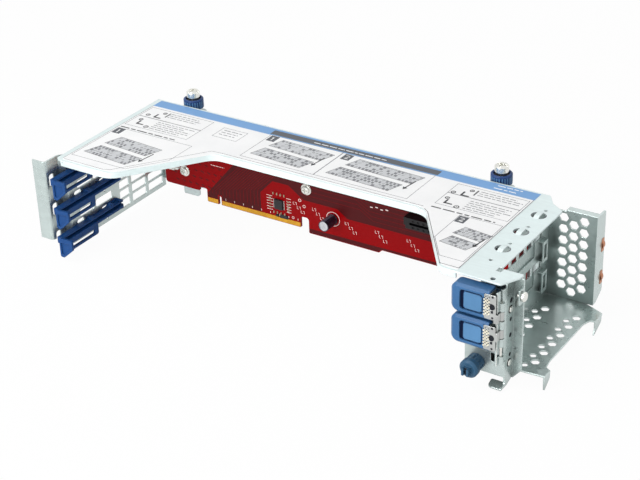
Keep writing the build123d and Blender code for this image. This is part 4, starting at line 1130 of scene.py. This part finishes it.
@dataclass
class PostDetail:
    """Painted shade in the post's bores, painted shadows round its rivets, and painted highlights
    on its fold and on the bright front edge beside the levers.
    """

    face: float = 10.0
    bore_y: float = -101.6
    rivet_y: float = -102.2
    fold_y: float = -97.0
    edge: Point = (8.2, -115.4)
    sunk: float = 0.02
    sides: int = 16

    def build(self) -> None:
        """Builds the details."""
        # Painted shade: dark discs fill the post's bores, and larger dark discs behind the rivet
        # heads are painted shadows round them.
        dark = Shape()
        for level, radius in ((-14.0, 1.7), (-26.5, 1.3), (-37.0, 1.5), (-50.0, 1.3)):
            dark.prism(self.circle(self.bore_y, level, radius), Vector((0.05, 0, 0)))
        for level in (-19.6, -55.3):
            dark.prism(self.circle(self.rivet_y, level, 2.6), Vector((0.05, 0, 0)))
        dark.piece("post_bore_and_rivet_shade", Finish.PIT_SHADE, slot="panel_steel")
        # Painted highlights: pale wedges along the post's fold and along its front edge, where
        # light catches them.
        bright = Shape()
        fold = [Vector((self.face + out, self.fold_y + side, -3.0))
                for out, side in ((-self.sunk, -0.35), (0.6, 0.0), (-self.sunk, 0.3))]
        bright.prism(fold, Vector((0, 0, -63.0)))
        x, y = self.edge
        edge_highlight = [Vector((x + out, y + back, -3.6))
               for out, back in ((-0.3, 0.0), (0.36, 0.3), (-0.05, 0.75))]
        bright.prism(edge_highlight, Vector((0, 0, -47.5)))
        bright.piece("post_edge_highlights", Finish.CLIP, slot="plate_steel")

    def circle(self, y: float, z: float, radius: float) -> list[Vector]:
        """Corners of a disc just below the post's outer face.

        Args:
            y: Its centre, along the depth.
            z: Its centre's level.
            radius: Its radius.

        Returns:
            The corners, in cage millimetres.
        """
        x = self.face - self.sunk
        turns = [2 * math.pi * k / self.sides for k in range(self.sides)]
        return [Vector((x, y + radius * math.cos(a), z + radius * math.sin(a))) for a in turns]


@dataclass
class LanceDetail:
    """Painted shadows: dark rims beside the lanced bridges along the plate's strip."""

    x: float = -10.0
    first: float = -27.0
    pitch: float = 23.4
    radius: float = 4.25
    width: float = 0.6
    reach: float = 1.05
    count: int = 3
    steps: int = 8

    def build(self) -> None:
        """Builds the painted shadow rims as one piece."""
        rims = Ink(0.0, 0.025)
        for index in range(self.count):
            for middle in (0.0, math.pi):
                self.arc(rims, self.first - index * self.pitch, middle)
        rims.piece("lance_shadow_rims", Finish.TITLE, slot="plate_steel")

    def arc(self, rims: Ink, y: float, middle: float) -> None:
        """Adds a painted shadow rim that thins towards its ends.

        Args:
            rims: The print to add to.
            y: The bridge's centre, along the depth.
            middle: The direction of the rim's middle.
        """
        for k in range(self.steps):
            ends = []
            for n in (k, k + 1):
                share = n / self.steps * 2.0 - 1.0
                angle = middle + share * self.reach
                outer = self.radius + self.width * (1.05 - share * share)
                ends.append((Vector((math.cos(angle), math.sin(angle))), outer))
            (a, far_a), (b, far_b) = ends
            spot = Vector((self.x, y))
            rims.field([tuple(spot + a * self.radius), tuple(spot + a * far_a),
                        tuple(spot + b * far_b), tuple(spot + b * self.radius)])


@dataclass
class KnobDetail:
    """Painted shade: a dark slab for the slot in the front knob's tip."""

    x: float = -7.8
    z: float = -56.8
    tip: float = -120.85
    half_width: float = 0.85
    half_height: float = 2.25

    def build(self) -> None:
        """Builds the detail."""
        # Painted shade standing for the shaded inside of the slot.
        slot = Ink(self.tip, 0.1, upright=True)
        slot.box(self.x - self.half_width, self.z - self.half_height,
                 self.x + self.half_width, self.z + self.half_height)
        slot.piece("knob_slot_shade", Finish.PIT_SHADE, "front_knob", slot="lever_plastic")


NODE_FINISH: dict[str, Finish] = {
    "top_sheet": Finish.PLATE, "label_film": Finish.LABEL, "left_panel": Finish.PANEL,
    "card_guide_upper": Finish.GUIDE, "card_guide_middle": Finish.GUIDE,
    "card_guide_lower": Finish.GUIDE, "slot_frame": Finish.PANEL, "vent_panel": Finish.PANEL,
    "spring_fingers": Finish.COPPER, "slot_cover_upper": Finish.PANEL,
    "slot_cover_lower": Finish.PANEL, "riser_board": Finish.MASK, "edge_contacts": Finish.GOLD,
    "slot_socket_upper": Finish.SOCKET, "slot_socket_lower": Finish.SOCKET,
    "capacitor": Finish.CAPACITOR, "regulator_chip": Finish.CHIP, "chip_parts": Finish.CERAMIC,
    "board_screws": Finish.BRIGHT, "board_spacers": Finish.BRIGHT, "board_clip": Finish.CLIP,
    "hinge_plate": Finish.PANEL, "hinge_pin": Finish.BRIGHT, "lever_upper": Finish.LEVER,
    "lever_lower": Finish.LEVER, "lever_fitting_upper": Finish.SPRING,
    "lever_fitting_lower": Finish.SPRING, "front_knob": Finish.KNOB,
    "front_knob_screw": Finish.BRIGHT, "post_stud": Finish.BRIGHT, "post_rivets": Finish.BRIGHT,
    "panel_rivets": Finish.BRIGHT, "thumb_ferrule": Finish.BRIGHT, "thumb_spring": Finish.SPRING,
    "thumb_collar": Finish.COLLAR, "thumb_screw": Finish.BRIGHT,
}


def dress_nodes() -> None:
    """Gives every node of the frame its finish."""
    for name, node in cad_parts.items():
        stem = name
        for side in ("_left", "_right"):
            if name.startswith("thumb_") and name.endswith(side):
                stem = name[: -len(side)]
        node.data.materials.clear()
        node.data.materials.append(NODE_FINISH[stem].material())
        log.info("%s: %s", name, NODE_FINISH[stem].value.name)


# name, place in metres, power in watts, size in metres
LAMPS = (
    ("key", (-0.55, -0.75, 1.25), 9.6, 0.7),
    ("front", (-0.15, -1.45, 0.30), 16.0, 0.9),
    ("fill", (0.95, -0.55, 0.75), 1.3, 0.8),
    ("rim", (0.15, 0.9, 0.95), 1.4, 0.8),
)


@dataclass
class Studio:
    """Pale floor, soft light and the camera of the photograph."""

    eye: tuple[float, float, float] = (0.49944, -0.74381, 0.51940)
    turn: tuple[float, float, float] = (61.2765, 1.8072, 32.8901)
    lens: float = 89.64
    sensor: float = 36.0
    world_light: float = 0.9
    floor_size: float = 6.0

    def build(self) -> None:
        """Builds the set."""
        self.camera()
        self.floor()
        self.world()
        for name, place, power, size in LAMPS:
            self.lamp(name, place, power, size)
        bpy.context.scene.view_settings.view_transform = "Standard"

    def camera(self) -> None:
        """The camera at the photograph's place."""
        data = bpy.data.cameras.new("camera")
        data.lens = self.lens
        data.sensor_width = self.sensor
        data.clip_start = 0.01
        camera = bpy.data.objects.new("camera", data)
        camera.location = self.eye
        camera.rotation_euler = tuple(math.radians(a) for a in self.turn)
        bpy.context.scene.collection.objects.link(camera)
        bpy.context.scene.camera = camera

    def floor(self) -> None:
        """A wide pale floor, white to the camera, that keeps the shadow."""
        shape = bmesh.new()
        bmesh.ops.create_grid(shape, x_segments=1, y_segments=1, size=self.floor_size)
        data = bpy.data.meshes.new("floor")
        shape.to_mesh(data)
        shape.free()
        floor = bpy.data.objects.new("floor", data)
        bpy.context.scene.collection.objects.link(floor)
        skin = Skin("floor")
        direct = skin.sees_background()
        tone = skin.tint(direct, (0.86, 0.90, 0.90, 1.0), (0.86, 0.86, 0.86, 1.0))
        pale = skin.add("ShaderNodeBsdfDiffuse", None, {"Color": tone})
        white = skin.add("ShaderNodeEmission", None, {"Color": (1, 1, 1, 1), "Strength": 1.0})
        seen = direct * 0.96
        both = skin.add("ShaderNodeMixShader", None, {
            0: seen, 1: skin.out(pale), 2: skin.out(white)})
        skin.add("ShaderNodeOutputMaterial", None, {0: skin.out(both)})
        data.materials.append(skin.material)

    def world(self) -> None:
        """A white surround that lights softly."""
        world = bpy.data.worlds.new("surround")
        bpy.context.scene.world = world
        world.use_nodes = True
        graph = Graph(world.node_tree)
        world.node_tree.nodes.clear()
        ray = graph.add("ShaderNodeTexCoord")
        parts = graph.add("ShaderNodeSeparateXYZ", None, {0: graph.out(ray, "Generated")})
        rise = (graph.out(parts, "Z") * 0.45 + 0.55).clamped()
        ahead = (0.5 - graph.out(parts, "Y") * 0.5).clamped()
        sky = rise * (0.2 + ahead * 0.8) * self.world_light
        strength = graph.sees_background() * (1.0 - sky) + sky
        light = graph.add("ShaderNodeBackground", None, {
            "Color": (1, 1, 1, 1), "Strength": strength})
        graph.add("ShaderNodeOutputWorld", None, {0: graph.out(light)})

    @staticmethod
    def lamp(name: str, place: tuple[float, float, float], power: float, size: float) -> None:
        """A square soft light that faces the riser."""
        data = bpy.data.lights.new(name, "AREA")
        data.energy = power
        data.size = size
        lamp = bpy.data.objects.new(name, data)
        lamp.location = place
        aim = Vector((0, 0, 0.04)) - Vector(place)
        lamp.rotation_euler = aim.to_track_quat("-Z", "Y").to_euler()
        bpy.context.scene.collection.objects.link(lamp)


def main() -> None:
    """Builds the looks in order."""
    dress_nodes()
    Label().build()
    BoardPrint().build()
    for side, x in (("left", -294.0), ("right", -53.0)):
        ThumbScrew(side, x).build()
    for body, top in (("lever_upper", -3.0), ("lever_lower", -23.32)):
        LeverDetail(body, top).build()
    KnobDetail().build()
    PostDetail().build()
    LanceDetail().build()
    Studio().build()


if __name__ == "__main__":
    main()
